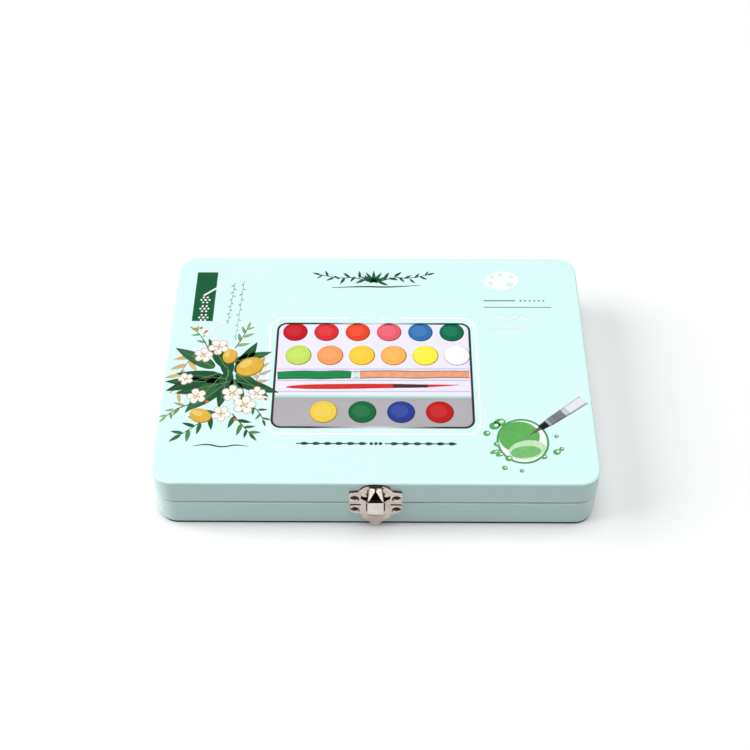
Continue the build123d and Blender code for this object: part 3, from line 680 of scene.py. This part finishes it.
# %% Two long brush-strokes
strokes = [
    stroke([(-53.6, -9.4), (-42, -8.6), (-30, -9.2), (-20, -8.4), (-13.6, -8.8)],
           [5.4, 6.0, 5.8, 6.1, 5.2], 3, ink(22, 138, 72)),
    stroke([(-12.8, -8.8), (-9.6, -8.7)], [5.4, 5.2], 3, ink(214, 232, 226)),
    stroke([(-9.0, -8.7), (6, -8.0), (22, -8.8), (36, -8.0), (50.3, -8.3)],
           [5.6, 5.2, 5.6, 5.0, 5.3], 3, ink(236, 164, 124, 0.10, 300)),
    stroke([(-48.6, -17.6), (-44, -17.3), (-20, -17.0), (8, -16.4), (28, -16.6), (44.6, -15.6)],
           [0.6, 3.0, 3.6, 3.0, 2.2, 0.3], 3, ink(224, 42, 32)),
    stroke([(9.0, -16.5), (27.6, -16.6)], [2.5, 1.9], 4, ink(74, 44, 40)),
]
pale, paler = ink(188, 182, 205), ink(196, 190, 212)
for start, end, material in [(-12.9, -12.3, pale), (-4.9, -4.3, paler), (-20.6, -20.2, paler)]:
    strokes.append(stroke([(-53.8, start), (50.2, end)], 0.5, 2, material))
print_piece(strokes, "print_strokes", thicken=False)

# %% [markdown]
# ## The sprig on the left
# A loose spray of leaves, blossom and golden fruit fills the left of the lid. Placing a hundred leaves by
# hand would take long, so they are stamped along twigs, alternately left and right, smaller towards the tip,
# with small seeded differences.

# %% Sprig helpers
draw = random.Random(36)
bark = ink(70, 78, 60)
leaf_share = 0.42


def around(x, y, distance, turn):
    """The point at a distance from (x, y), in a direction in degrees."""
    angle = math.radians(turn)
    return x + distance * math.cos(angle), y + distance * math.sin(angle)


def sprig(points, count, size, colours, layer, parts, twig=bark, twig_width=0.7):
    """Adds leaves to parts, on both sides of a twig through points, and gives back the twig."""
    spans = len(points) - 1
    for number in range(count):
        reach = (number + 0.6) / count * spans
        span = min(int(reach), spans - 1)
        share = reach - span
        (x0, y0), (x1, y1) = points[span], points[span + 1]
        x, y = x0 + (x1 - x0) * share, y0 + (y1 - y0) * share
        heading = math.degrees(math.atan2(y1 - y0, x1 - x0))
        turn = heading + (46 if number % 2 else -46) + draw.uniform(-12, 12)
        length = size * (1.0 - 0.35 * number / count) * draw.uniform(0.85, 1.12)
        pair = colours[number % len(colours)]
        parts.append(stamp(leaf, x, y, length, length * leaf_share, turn, layer + number % 3, *pair))
    parts.append(stamp(leaf, *points[-1], size * 0.75, size * 0.75 * leaf_share, heading, layer, *colours[0]))
    widths = [twig_width * (1 - 0.6 * n / len(points)) for n in range(len(points))]
    return [stroke(points, widths, layer + 3, twig)]


def blossom(x, y, size, turn, layer, parts):
    """Five white petals with a blush, round an orange heart."""
    for number in range(5):
        angle = turn + 72 * number + draw.uniform(-5, 5)
        parts.append(stamp(petal, x, y, size * 0.54, size * 0.46, angle, layer, ink(206, 190, 178, 0.05)))
        parts.append(stamp(petal, x, y, size * 0.49, size * 0.38, angle, layer + 1, ink(250, 246, 240, 0.03)))
    parts.append(stamp(disc, x, y, size * 0.20, size * 0.20, 0, layer + 3, ink(206, 198, 120)))
    for number in range(4):
        spot = around(x, y, 0.17 * size, turn + 90 * number + 30)
        parts.append(stamp(disc, *spot, size * 0.09, size * 0.09, 0, layer + 4, ink(226, 136, 86)))


# %% Spray of leaves, blossom and fruit
greens = [(ink(50, 104, 62), ink(22, 60, 40)), (ink(34, 82, 52), ink(16, 48, 36)),
          (ink(80, 134, 74), ink(40, 90, 52))]
tans = [(ink(206, 178, 118), ink(182, 152, 92)), (ink(214, 186, 132), ink(176, 146, 88))]
peaches = [(ink(208, 164, 146), ink(186, 136, 116)), (ink(214, 176, 158), ink(190, 146, 126))]
olives = [(ink(150, 172, 104), ink(104, 134, 70)), (ink(126, 156, 90), ink(80, 112, 62))]
straw, slate, rose = ink(176, 150, 100), ink(84, 92, 84), ink(190, 150, 130)
parts, twigs = [], []
for points, count, size, colours, layer, twig in [
    ([(-100, 6), (-104, -2), (-108, -12), (-106, -22)], 8, 9.5, tans, 1, straw),
    ([(-92, 8), (-96, 18), (-101, 23)], 5, 6.5, olives, 1, slate),
    ([(-78, 10), (-74, 18), (-72, 25)], 5, 7.0, olives, 1, slate),
    ([(-66, -16), (-62.5, -8), (-62, 0)], 6, 8.0, peaches, 1, rose),
    ([(-67, -30), (-61.5, -34), (-59.5, -40)], 4, 6.5, greens, 1, bark),
    ([(-100, -30), (-107, -33), (-111, -38)], 5, 7.0, olives, 1, bark),
    ([(-84, -34), (-92, -42), (-102, -50)], 7, 10.0, greens, 3, bark),
    ([(-76, -36), (-70, -44), (-66, -49)], 6, 8.5, greens, 2, bark),
]:
    twigs += sprig(points, count, size, colours, layer, parts, twig)

big = [(-80, -10, 26, 100), (-79, -14, 30, 196), (-76, -8, 25, 66), (-81, -12, 28, 172), (-75, -14, 24, 342),
       (-82, -16, 25, 226), (-88, -4, 27, 148), (-86, -8, 30, 205), (-84, -10, 31, 236), (-80, -6, 27, 262),
       (-76, -8, 25, 318), (-82, -4, 24, 118), (-78, 0, 22, 20), (-92, -14, 22, 180), (-77, -12, 24, 285)]
for number, (x, y, length, turn) in enumerate(big):
    pair = greens[1 if number < 6 else number % 2]
    parts.append(stamp(leaf, x, y, length, length * leaf_share, turn, 5 + number % 5, *pair))
    tip = around(x, y, 0.86 * length, turn)
    twigs.append(stroke([(x, y), tip], [0.5, 0.12], 10 + number % 4, ink(112, 156, 96)))

for x, y, size, turn in [(-95, 5, 10, 10), (-87, 11, 11, 50), (-77, -22, 11, 20), (-96, -24, 10, 35),
                         (-70, -30, 12, 5), (-82, -36, 10, 60), (-64, -22, 9, 15), (-103, -12, 8, 40)]:
    blossom(x, y, size, turn, 12, parts)
for x, y, size, turn in [(-69, -3, 15.5, 35), (-93, -37, 11.5, -20), (-80.5, 4.5, 10, 80)]:
    gleam_x, gleam_y = x - size * 0.14, y + size * 0.12
    parts.append(stamp(disc, x + 0.3, y - 0.5, size * 1.03, size * 0.80, turn, 16, ink(176, 128, 44)))
    parts.append(stamp(disc, x, y, size, size * 0.76, turn, 17, ink(224, 178, 66, 0.08, 300)))
    parts.append(stamp(disc, gleam_x, gleam_y, size * 0.5, size * 0.3, turn, 18, ink(236, 202, 104)))
for x, y in [(-101, 24.5), (-98, 25), (-95, 22.5), (-59, -26), (-74, -40), (-90, -28)]:
    parts.append(stamp(disc, x, y, 1.9, 1.9, 0, 16, ink(222, 120, 70)))
print_piece(parts, "print_sprig")
print_piece(twigs, "print_twigs", thicken=False)

# %% [markdown]
# ## The small ornaments
# A green tag with two white slashes, a leafy flourish at the top, a painter's palette in white, thin rules
# and rows of dots share out dark and light over the rest of the lid.

# %% Tag and flourish
forest = ink(26, 93, 57)
deep = ink(22, 74, 48)
print_piece([patch(-103.9, 30.3, -92.1, 68.6, 0, 0, forest)], "print_tag")


def dot(x, y, across, layer, material):
    return stamp(octagon, x, y, across, across, 0, layer, material)


tag_marks = [stroke([(-98.9, 50.0), (-87.6, 59.6)], 1.2, 2, white_ink, "POLY"),
             stroke([(-96.2, 19.6), (-85.0, 30.0)], 1.2, 2, white_ink, "POLY")]
sage = ink(120, 158, 140)
for x, y0, y1 in [(-83.4, 30.0, 60.0), (-78.2, 18.0, 62.0)]:
    stem = [(x + 1.6, y1), (x + 0.8, (y0 + y1) / 2), (x, y0)]
    tag_marks += sprig(stem, 11, 2.7, [(sage, ink(96, 138, 118))], 1, tag_marks, sage, 0.35)
for y in (46.6, 39.8, 33.0):
    tag_marks.append(dot(-97.6, y, 1.6, 2, white_ink))
    for turn in range(0, 360, 60):
        tag_marks.append(dot(*around(-97.6, y, 2.3, turn), 1.3, 2, white_ink))
print_piece(tag_marks, "print_tag_marks", thicken=False)

flourish, flourish_lines = [], []
leaf_pair = (ink(24, 78, 50), ink(18, 62, 40))
for points in [
    [(-3, 60.5), (-12, 65.5), (-22, 63.5), (-33, 67.0)],
    [(-1, 60.5), (9, 65.5), (19, 63.5), (29, 67.0)],
]:
    flourish_lines += sprig(points, 10, 6.4, [leaf_pair], 1, flourish, ink(22, 70, 46), 0.8)
flourish_lines.append(stroke([(-26, 56.6), (-8, 57.8), (8, 56.8), (25, 58.8)], [0.4, 1.1, 1.1, 0.3], 2, deep))
for turn in range(30, 180, 30):
    flourish.append(stamp(leaf, -2, 61, 9.4, 3.0, turn, 5, ink(30, 92, 58), ink(20, 70, 46)))
print_piece(flourish, "print_flourish")
print_piece(flourish_lines, "print_flourish_lines", thicken=False)

# %% Palette, rules and rows of marks
pale_mint = ink(208, 244, 236, 0.02)
palette_mark = [stamp(disc, 71.5, 62.5, 20, 14.5, 12, 0, white_ink)]
for x, y in [(66.2, 65.4), (71.4, 67.2), (77.0, 65.6), (65.2, 60.4)]:
    palette_mark.append(stamp(disc, x, y, 3.0, 2.6, 0, 2, pale_mint))
palette_mark.append(stamp(disc, 76.0, 59.4, 4.4, 3.4, 12, 2, pale_mint))
print_piece(palette_mark, "print_palette_mark")

rules = []
wave = [(62, 33), (68, 37), (74, 30), (80, 37), (86, 30), (92, 36)]
swash = [(-95, -57.5), (-88, -55.6), (-80, -58.4), (-72, -56), (-66, -57.6)]
for points, widths, material in [
    ([(60.6, 46.6), (78.4, 46.6)], 0.7, deep),
    ([(60.6, 41.6), (98.6, 41.6)], 0.5, deep),
    (wave, [0.4, 1.6, 1.4, 1.5, 1.3, 0.3], white_ink),
    ([(62, 25), (84, 25)], 0.8, white_ink),
    ([(-41.5, -55.4), (-4.5, -55.4)], 0.7, deep),
    ([(4.5, -55.4), (41.5, -55.4)], 0.7, deep),
    (swash, [0.3, 1.0, 0.8, 0.9, 0.2], ink(40, 60, 54)),
]:
    rules.append(stroke(points, widths, 1, material))
print_piece(rules, "print_rules", thicken=False)

marks = [stamp(leaf, start + 6 * n, -55.4, 4.6, 2.9, 0, 1, deep, forest)
         for start in (-39, 7.6) for n in range(6)]
marks += [dot(x, -55.4, 2.0, 1, deep) for x in (-2.4, 0, 2.4)]
marks += [dot(81.5 + 2.6 * n, 46.6, 1.1, 1, deep) for n in range(6)]
marks += [dot(-9.0 + 4.0 * n, 32.9, 1.5, 1, white_ink) for n in range(5)]
print_piece(marks, "print_marks")

# %% [markdown]
# ## The green wash
# At the bottom right a round wash of green shows how the paint flows, with drops round it and a brush
# resting on it. The wash is a stack of discs, each a little lighter, off centre and irregular.

# %% Wash, drops and brush
wash = [
    stamp(disc, 76.3, -53.4, 27.4, 29.4, 0, 0, ink(74, 160, 84)),
    stamp(disc, 76.3, -53.4, 25.0, 27.0, 0, 1, ink(246, 246, 252, 0.02)),
    stamp(disc, 74.6, -50.6, 21.6, 20.0, 20, 2, ink(98, 176, 92, 0.10, 260)),
    stamp(disc, 78.2, -59.0, 19.6, 12.0, 14, 3, ink(196, 226, 188, 0.08, 500)),
    stamp(disc, 77.4, -60.4, 16.0, 7.6, 8, 4, ink(122, 190, 116, 0.10, 260)),
]
drops = [(62.2, -43.4, 6.0, 5.0), (65.0, -41.2, 6.4, 5.0), (57.8, -48.4, 3.8, 3.6), (62.6, -55.4, 3.2, 3.0),
         (61.4, -60.4, 5.4, 2.4), (64.0, -62.0, 5.0, 2.6), (68.4, -64.6, 3.8, 3.8), (66.0, -70.6, 3.0, 2.8),
         (74.6, -72.4, 2.4, 2.2), (86.6, -63.6, 3.4, 2.8), (93.4, -60.4, 4.2, 3.6), (96.0, -58.4, 2.6, 2.6),
         (94.0, -50.2, 2.4, 2.2)]
for x, y, length, width in drops:
    gleam_x, gleam_y = x + length * 0.14, y + width * 0.10
    wash.append(stamp(disc, x, y, length, width, 20, 5, ink(84, 168, 92)))
    wash.append(stamp(disc, gleam_x, gleam_y, length * 0.4, width * 0.4, 20, 6, ink(214, 240, 216)))
print_piece(wash, "print_wash")

tip, heading = Vector((80.0, -49.5)), math.radians(38)


def along(distance):
    """A point on the printed brush, by its distance from the tip."""
    return tuple(tip + distance * Vector((math.cos(heading), math.sin(heading))))


brush_print = [stroke([along(0), along(4), along(8)], [0.2, 1.8, 2.4], 7, ink(96, 110, 92))]
for near, far, widths, layer, material in [
    (7.5, 12.5, [3.4, 4.4], 8, ink(30, 30, 32)),
    (12.5, 14.2, [4.4, 4.8], 7, ink(168, 174, 180)),
    (14.2, 24.0, [5.0, 5.6], 8, ink(122, 128, 134, 0.2, 200)),
    (24.0, 27.0, [5.7, 5.9], 7, ink(198, 204, 212)),
    (27.0, 38.5, [6.0, 6.4], 8, ink(228, 232, 242)),
]:
    brush_print.append(stroke([along(near), along(far)], widths, layer, material, "POLY"))
print_piece(brush_print, "print_brush", thicken=False)

# %% [markdown]
# ## Softened edges
# Pressed metal and formed plastic have no sharp edges, and it is the small round ones that catch the light.
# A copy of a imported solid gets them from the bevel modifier. The solid comes as loose triangles, so the copy
# is merged first, and the triangles of each flat face are dissolved into one face.

# %% Soften


def soften(name, width, material, body, angle=32, dissolve=True):
    """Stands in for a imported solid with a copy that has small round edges."""
    copy = twin(frame["nodes"][name])
    copy.parent = None
    make_active(copy)
    edit()
    bpy.ops.mesh.remove_doubles(threshold=0.002 * mm)
    if dissolve:
        bpy.ops.mesh.dissolve_limited(angle_limit=math.radians(0.4))
    end_edit()
    finish_modifier("BEVEL", width=width * mm, segments=3, limit_method="ANGLE",
                    angle_limit=math.radians(angle), use_clamp_overlap=True, miter_outer="MITER_ARC")
    smooth(copy, 40)
    add_piece(copy, name + "_soft", body, material)
    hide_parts(name)
    print(name, len(copy.data.polygons), "faces")
    return copy


def cut_faces(obj, planes):
    """Cuts the faces of a piece along planes, each an axis and a distance in millimetres."""
    make_active(obj)
    edit()
    for axis, distance in planes:
        normal = Vector([float(part == axis) for part in "xyz"])
        bpy.ops.mesh.select_all(action="SELECT")
        bpy.ops.mesh.bisect(plane_co=normal * distance * mm, plane_no=normal)
    end_edit()


# %% Hinges and catch
for name in ("catch_pin", "hinge_lid_leaves", "hinge_lid_rivets"):
    soften(name, 0.16, nickel, "lid")
for name in ("hinge_base_leaves", "hinge_base_rivets", "hinge_pins"):
    soften(name, 0.16, nickel, "base")
lid_rivets = soften("catch_lid_rivets", 0.08, nickel, "lid")
base_rivets = soften("catch_base_rivets", 0.08, nickel, "base")
base_plate = soften("catch_base_plate", 0.16, nickel, "base")
lid_plate = soften("catch_lid_plate", 0.16, nickel, "lid", dissolve=False)
hasp = soften("catch_hasp", 0.25, nickel, "hasp", dissolve=False)

# %% [markdown]
# ## Painted shade and highlight on the catch
# The catch is where the nickel differs most from place to place. Painted shade, a near-black nickel, lies in
# the pocket, on the knuckle, behind the fold of the hood, beside the box, on all upper rims and on the top of
# each rivet, where the metal mirrors the dark sky or lies in shadow. The box, the hood's slopes and the lower
# half of each rivet carry a painted highlight of the bright floor they mirror. A painted mask would need an
# image, so the faces are cut along the borders of these places and then given their finish by where they lie
# and which way they face.

# %% Painted shade and highlight
cut_faces(hasp, [("x", -4.95), ("x", 4.95), ("z", 14.6)])
cut_faces(lid_plate, [("x", -3.4), ("x", -0.5), ("x", 0.5), ("x", 3.4), ("z", 33.9)])
front = -81.0  # the front wall of the case, in millimetres


# Painted shade on the lid plate: the pocket, the knuckle, the fold of the hood, the upper rims and above the
# hood
def lid_plate_shade_faces(at, facing):
    pocket = at.y > front - 0.9 and facing.y < -0.5 and 22 < at.z < 30 and abs(at.x) < 7.5
    knuckle = at.y < front - 1.2 and (abs(facing.x) > 0.6 or at.z < 27.0 or facing.z < -0.5)
    hood_fold = abs(at.x) < 0.5 and at.y < front - 1.0 and at.z > 31
    upper_rim = facing.z > 0.6 and at.y > front - 1.3 and at.z > 27
    hood_top = abs(at.x) < 3.4 and at.z > 33.9
    return pocket or knuckle or hood_fold or upper_rim or hood_top


# Painted shade on each rivet's top, inner side and outline, where it mirrors the dark sky
def rivet_shade_faces(at, facing):
    inner_side = facing.x * (1 if at.x < 0 else -1) > 0.62
    return facing.z > 0.30 or inner_side or facing.y > -0.30


# Painted shade on the hasp: the sides of the box, the strips beside it and its inside
def hasp_shade_faces(at, facing):
    box_sides = abs(at.x) < 4.5 and at.y < front - 2.15 and abs(facing.x) > 0.85
    beside_box = 4.2 < abs(at.x) < 4.95 and 14.6 < at.z < 22.9 and facing.y < -0.9 and at.y > front - 2.4
    box_inside = abs(at.x) < 3.7 and at.y > front - 5.0 and facing.y > -0.2 and at.z > 16
    return box_sides or beside_box or box_inside


# The hood's slopes and the box's front get a painted highlight, where they mirror the bright floor
def hood_slopes(at, facing):
    return 0.5 < abs(at.x) < 4.2 and at.y < front - 1.5 and facing.z > 0.3 and facing.y < -0.3


# The chamfers below the box get painted half shade
def box_chamfers(at, facing):
    return at.z < 16.6 and at.y < front - 2.2 and 0.25 < abs(facing.x) < 0.85


def box_front(at, facing):
    return at.y < front - 4.9 and facing.y < -0.3 and abs(facing.x) < 0.85


# Painted shade, then painted highlight, on the lid plate
finish_faces(lid_plate, nickel_shade, lid_plate_shade_faces)
finish_faces(lid_plate, nickel_painted_highlight, hood_slopes)
# Painted shade on the base plate's upper rims
finish_faces(base_plate, nickel_shade, lambda at, facing: facing.z > 0.6)
for rivets in (lid_rivets, base_rivets):
    # The lower half of each rivet gets a painted highlight, and its top and outline get painted shade
    finish_faces(rivets, nickel_painted_highlight, lambda at, facing: facing.z < 0.15 and facing.y < -0.5)
    finish_faces(rivets, nickel_shade, rivet_shade_faces)
# On the hasp: painted shade, painted half shade on the chamfers and a painted highlight on the box's front
finish_faces(hasp, nickel_shade, hasp_shade_faces)
finish_faces(hasp, nickel_half_shade, box_chamfers)
finish_faces(hasp, nickel_painted_highlight, box_front)
print("finishes on the lid plate", len(lid_plate.data.materials), "and the hasp", len(hasp.data.materials))

# %% [markdown]
# ## What lies inside
# Inside are a white tray formed from thin plastic sheet, thirty-six cakes of pressed pigment, a sponge, a
# pencil and a water brush, and a white mixing palette snaps into the lid. None of it shows while the tin is
# closed, but it does once the lid is swung open, so it gets the same care.

# %% White plastic
white_plastic, shader, where = surface("white_plastic", in_Coat_Weight=0.25, in_Coat_Roughness=0.12)
haze = noise(where, 22.0, 4.0)
tone = blend(haze, srgb(226, 228, 231), srgb(233, 234, 236))
dull = stretch(haze, 0.3, 0.7, 0.26, 0.36)
ripple = noise(where, 260.0, 2.0)
bump = bumps(ripple, 0.10, 0.0002)
feed(shader, in_Base_Color=tone, in_Roughness=dull, in_Normal=bump)

soften("paint_tray", 0.35, white_plastic, "base", dissolve=False)
soften("mixing_palette", 0.6, white_plastic, "lid")

# %% [markdown]
# ## The paint cakes
# A cake is a block of pressed pigment with cut corners, dished a little on top, dry and matt. One is modelled
# from a cube, whose upright edges are cut off and whose top is inset and lowered, and copied to every well.
# Each takes the colour of its own slot in the record, and its material adds what pressed powder has: darker
# and lighter grains, a dusting of paler powder and a rough, pitted surface.

# %% Pigment


def pigment(slot, colour):
    """Pressed powder of one colour."""
    made, shader, where = surface(slot, in_Specular_IOR_Level=0.25)
    grain = noise(where, 1500.0, 5.0, in_Roughness=0.7)
    cloud = noise(where, 110.0, 3.0)
    tone = blend(grain, tint(colour, 0.80), tint(colour, 1.10, 0.01))
    share = stretch(cloud, 0.50, 0.75, 0, 0.35)
    dust = blend(share, tone, tint(colour, 0.85, 0.12))
    rough = stretch(grain, 0, 1, 0.62, 0.9)
    bump = bumps(grain, 0.35, 0.0003)
    feed(shader, in_Base_Color=dust, in_Roughness=rough, in_Normal=bump)
    return made


# %% Cakes
slot_colours = {entry["slot"]: srgb(*[255 * part for part in entry["base_color"]])
                for entry in frame["record"]["materials"]}
low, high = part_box("cake_01")
cake_size = high - low
cake_count = 36
cut_corner, rim_width, rim_radius = 4.2 * mm, 1.3 * mm, 0.42 * mm
cake = block((0, 0, 0), cake_size, cut_corner, 1)
pick("faces", lambda face: face.normal.z > 0.9)
bpy.ops.mesh.inset(thickness=rim_width)
for width, drop in [(0.8, 0.35), (2.6, 0.12)]:
    bpy.ops.mesh.inset(thickness=width * mm)
    bpy.ops.transform.translate(value=(0, 0, -drop * mm))
pick("edges", lambda edge: edge.is_manifold and edge.calc_face_angle() > 0.6)
bpy.ops.mesh.bevel(offset=rim_radius, segments=3, affect="EDGES")
end_edit()
smooth(cake, 40)
for number in range(1, cake_count + 1):
    name, slot = f"cake_{number:02d}", f"paint_{number:02d}"
    low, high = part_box(name)
    copy = twin(cake)
    copy.location = (low + high) / 2
    add_piece(copy, name + "_pressed", "base", pigment(slot, slot_colours[slot]))
    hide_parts(name)
bpy.data.objects.remove(cake)
print("cake", [round(side / mm, 2) for side in cake_size])

# %% [markdown]
# ## The sponge
# A block of open foam. Its pores could be painted on with a bump, but their rims also show against the light,
# so they are real: a fine grid is wrapped round the block and pushed in wherever a cell of noise lies.

# %% Sponge
foam, shader, where = surface("sponge_foam", in_Roughness=0.95, in_Sheen_Weight=0.15)
cells = node(foam.node_tree, "TexVoronoi", in_Vector=where, in_Scale=620.0)
# Darker towards the middle of each cell, where the bump sinks: painted shade in the pores
pore_shade = ramp(cells, (0.05, srgb(214, 176, 92)), (0.55, srgb(250, 226, 150)))
bump = bumps(cells, 0.5, 0.0004)
feed(shader, in_Base_Color=pore_shade, in_Normal=bump)

low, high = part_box("sponge")
sponge = block((low + high) / 2, high - low, 3 * mm, 4)
end_edit()
finish_modifier("REMESH", mode="VOXEL", voxel_size=0.42 * mm)
pores = bpy.data.textures.new("pores", "VORONOI")
pores.noise_scale = 2.4 * mm
finish_modifier("DISPLACE", texture=pores, texture_coords="LOCAL", strength=1.1 * mm, mid_level=0.92)
for vert in sponge.data.vertices:
    for axis in range(3):
        vert.co[axis] = min(max(vert.co[axis], low[axis]), high[axis])
bpy.ops.object.shade_smooth()
add_piece(sponge, "sponge_foam_block", "base", foam)
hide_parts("sponge")
print("sponge", len(sponge.data.polygons), "faces")

# %% [markdown]
# ## The pencil
# Its rear part is painted green, then comes a white ring, and the rest is bare, varnished wood with fine
# grain that runs along it. One material holds all three and changes at set places along the pencil.

# %% Pencil
rear_end, front_end = -103.5 * mm, 46.5 * mm
ring_start, wood_start = 0.50, 0.53
pencil_paint, shader, where = surface("pencil_wood", in_Roughness=0.32)
tree = pencil_paint.node_tree
place = node(tree, "SeparateXYZ", in_0=where)
squeezed = node(tree, "Mapping", in_Vector=where, in_Scale=(60, 1400, 1400))
fibre = noise(squeezed, 1.0, 5.0, in_Distortion=0.4)
wood = ramp(fibre, (0.35, srgb(196, 132, 88)), (0.65, srgb(236, 184, 138)))
reach = stretch(place.outputs["X"], rear_end, front_end)
coat = ramp(reach, (0.0, srgb(20, 118, 66)), (ring_start, srgb(244, 244, 240)), steps="CONSTANT")
is_wood = node(tree, "Math", operation="GREATER_THAN", in_0=reach, in_1=wood_start)
tone = blend(is_wood, coat, wood)
bump = bumps(fibre, 0.12, 0.0002)
feed(shader, in_Base_Color=tone, in_Normal=bump)
soften("pencil_casing", 0.25, pencil_paint, "base", angle=35)

graphite, shader, where = surface("graphite", in_Metallic=0.35, in_Roughness=0.42)
flecks = noise(where, 2500.0, 4.0)
tone = blend(flecks, (0.035, 0.035, 0.038, 1), (0.085, 0.085, 0.09, 1))
feed(shader, in_Base_Color=tone)
soften("pencil_lead", 0.1, graphite, "base", angle=50)

# %% [markdown]
# ## The water brush
# A water brush holds water in its clear barrel and lets it seep into the tuft. Barrel and cap are clear
# plastic with a faint frost, the plug and the grip are grey, and the tuft is a bundle of tapered nylon hairs
# that bend a little towards the tip. Each hair is a thin curve with its own seeded place and bend.

# %% Clear and grey plastic
glassy = {"in_Transmission_Weight": 0.92, "in_IOR": 1.49}
clear, shader, where = surface("clear_plastic", in_Base_Color=(0.93, 0.96, 0.98, 1), **glassy)
frost = noise(where, 300.0, 3.0)
dull = stretch(frost, 0, 1, 0.06, 0.16)
feed(shader, in_Roughness=dull)
for name in ("brush_barrel", "brush_cap"):
    soften(name, 0.2, clear, "base")

brush_grey, shader, where = surface("brush_grey", in_Roughness=0.38)
speck = noise(where, 800.0, 3.0)
tone = blend(speck, (0.075, 0.085, 0.095, 1), (0.11, 0.12, 0.13, 1))
bump = bumps(speck, 0.15, 0.0001)
feed(shader, in_Base_Color=tone, in_Normal=bump)
for name in ("brush_plug", "brush_grip"):
    soften(name, 0.3, brush_grey, "base")

# %% Tuft
low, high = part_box("brush_tuft")
middle = (low + high) / 2
nylon, shader, where = surface("nylon_tuft", in_Roughness=0.45)
place = node(nylon.node_tree, "SeparateXYZ", in_0=where)
to_tip = stretch(place.outputs["X"], low.x, high.x)
feed(shader, in_Base_Color=ramp(to_tip, (0.0, srgb(118, 78, 44)), (1.0, srgb(222, 178, 120))))

hairs = bpy.data.curves.new("hairs", "CURVE")
hairs.dimensions = "3D"
hairs.bevel_depth = 0.13 * mm
hairs.bevel_resolution = 1
hairs.resolution_u = 3
hair_count, tuft_radius = 90, 1.45
# How far along a hair each point lies, how far it bulges from the middle, and how thick it is there
hair_form = [(0.0, 1.0, 1.0), (0.30, 1.05, 1.0), (0.55, 1.12, 0.9), (0.80, 0.62, 0.7), (1.0, 0.06, 0.25)]
for number in range(hair_count):
    angle = draw.uniform(0, math.tau)
    off = math.sqrt(draw.random()) * tuft_radius * mm
    length = (high.x - low.x) * draw.uniform(0.88, 1.0)
    hair = hairs.splines.new("NURBS")
    hair.points.add(len(hair_form) - 1)
    for point, (share, bulge, thick) in zip(hair.points, hair_form):
        y = middle.y + off * bulge * math.cos(angle)
        z = middle.z + off * bulge * math.sin(angle)
        point.co = (low.x + length * share, y, z, 1)
        point.radius = thick
    hair.order_u = 3
    hair.use_endpoint_u = True
tuft = bpy.data.objects.new("tuft", hairs)
scene.collection.objects.link(tuft)
make_active(tuft)
bpy.ops.object.convert(target="MESH")
bpy.ops.object.shade_smooth()
tuft = add_piece(bpy.context.object, "brush_hairs", "base", nylon)
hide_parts("brush_tuft")
print("hairs", len(tuft.data.polygons), "faces")
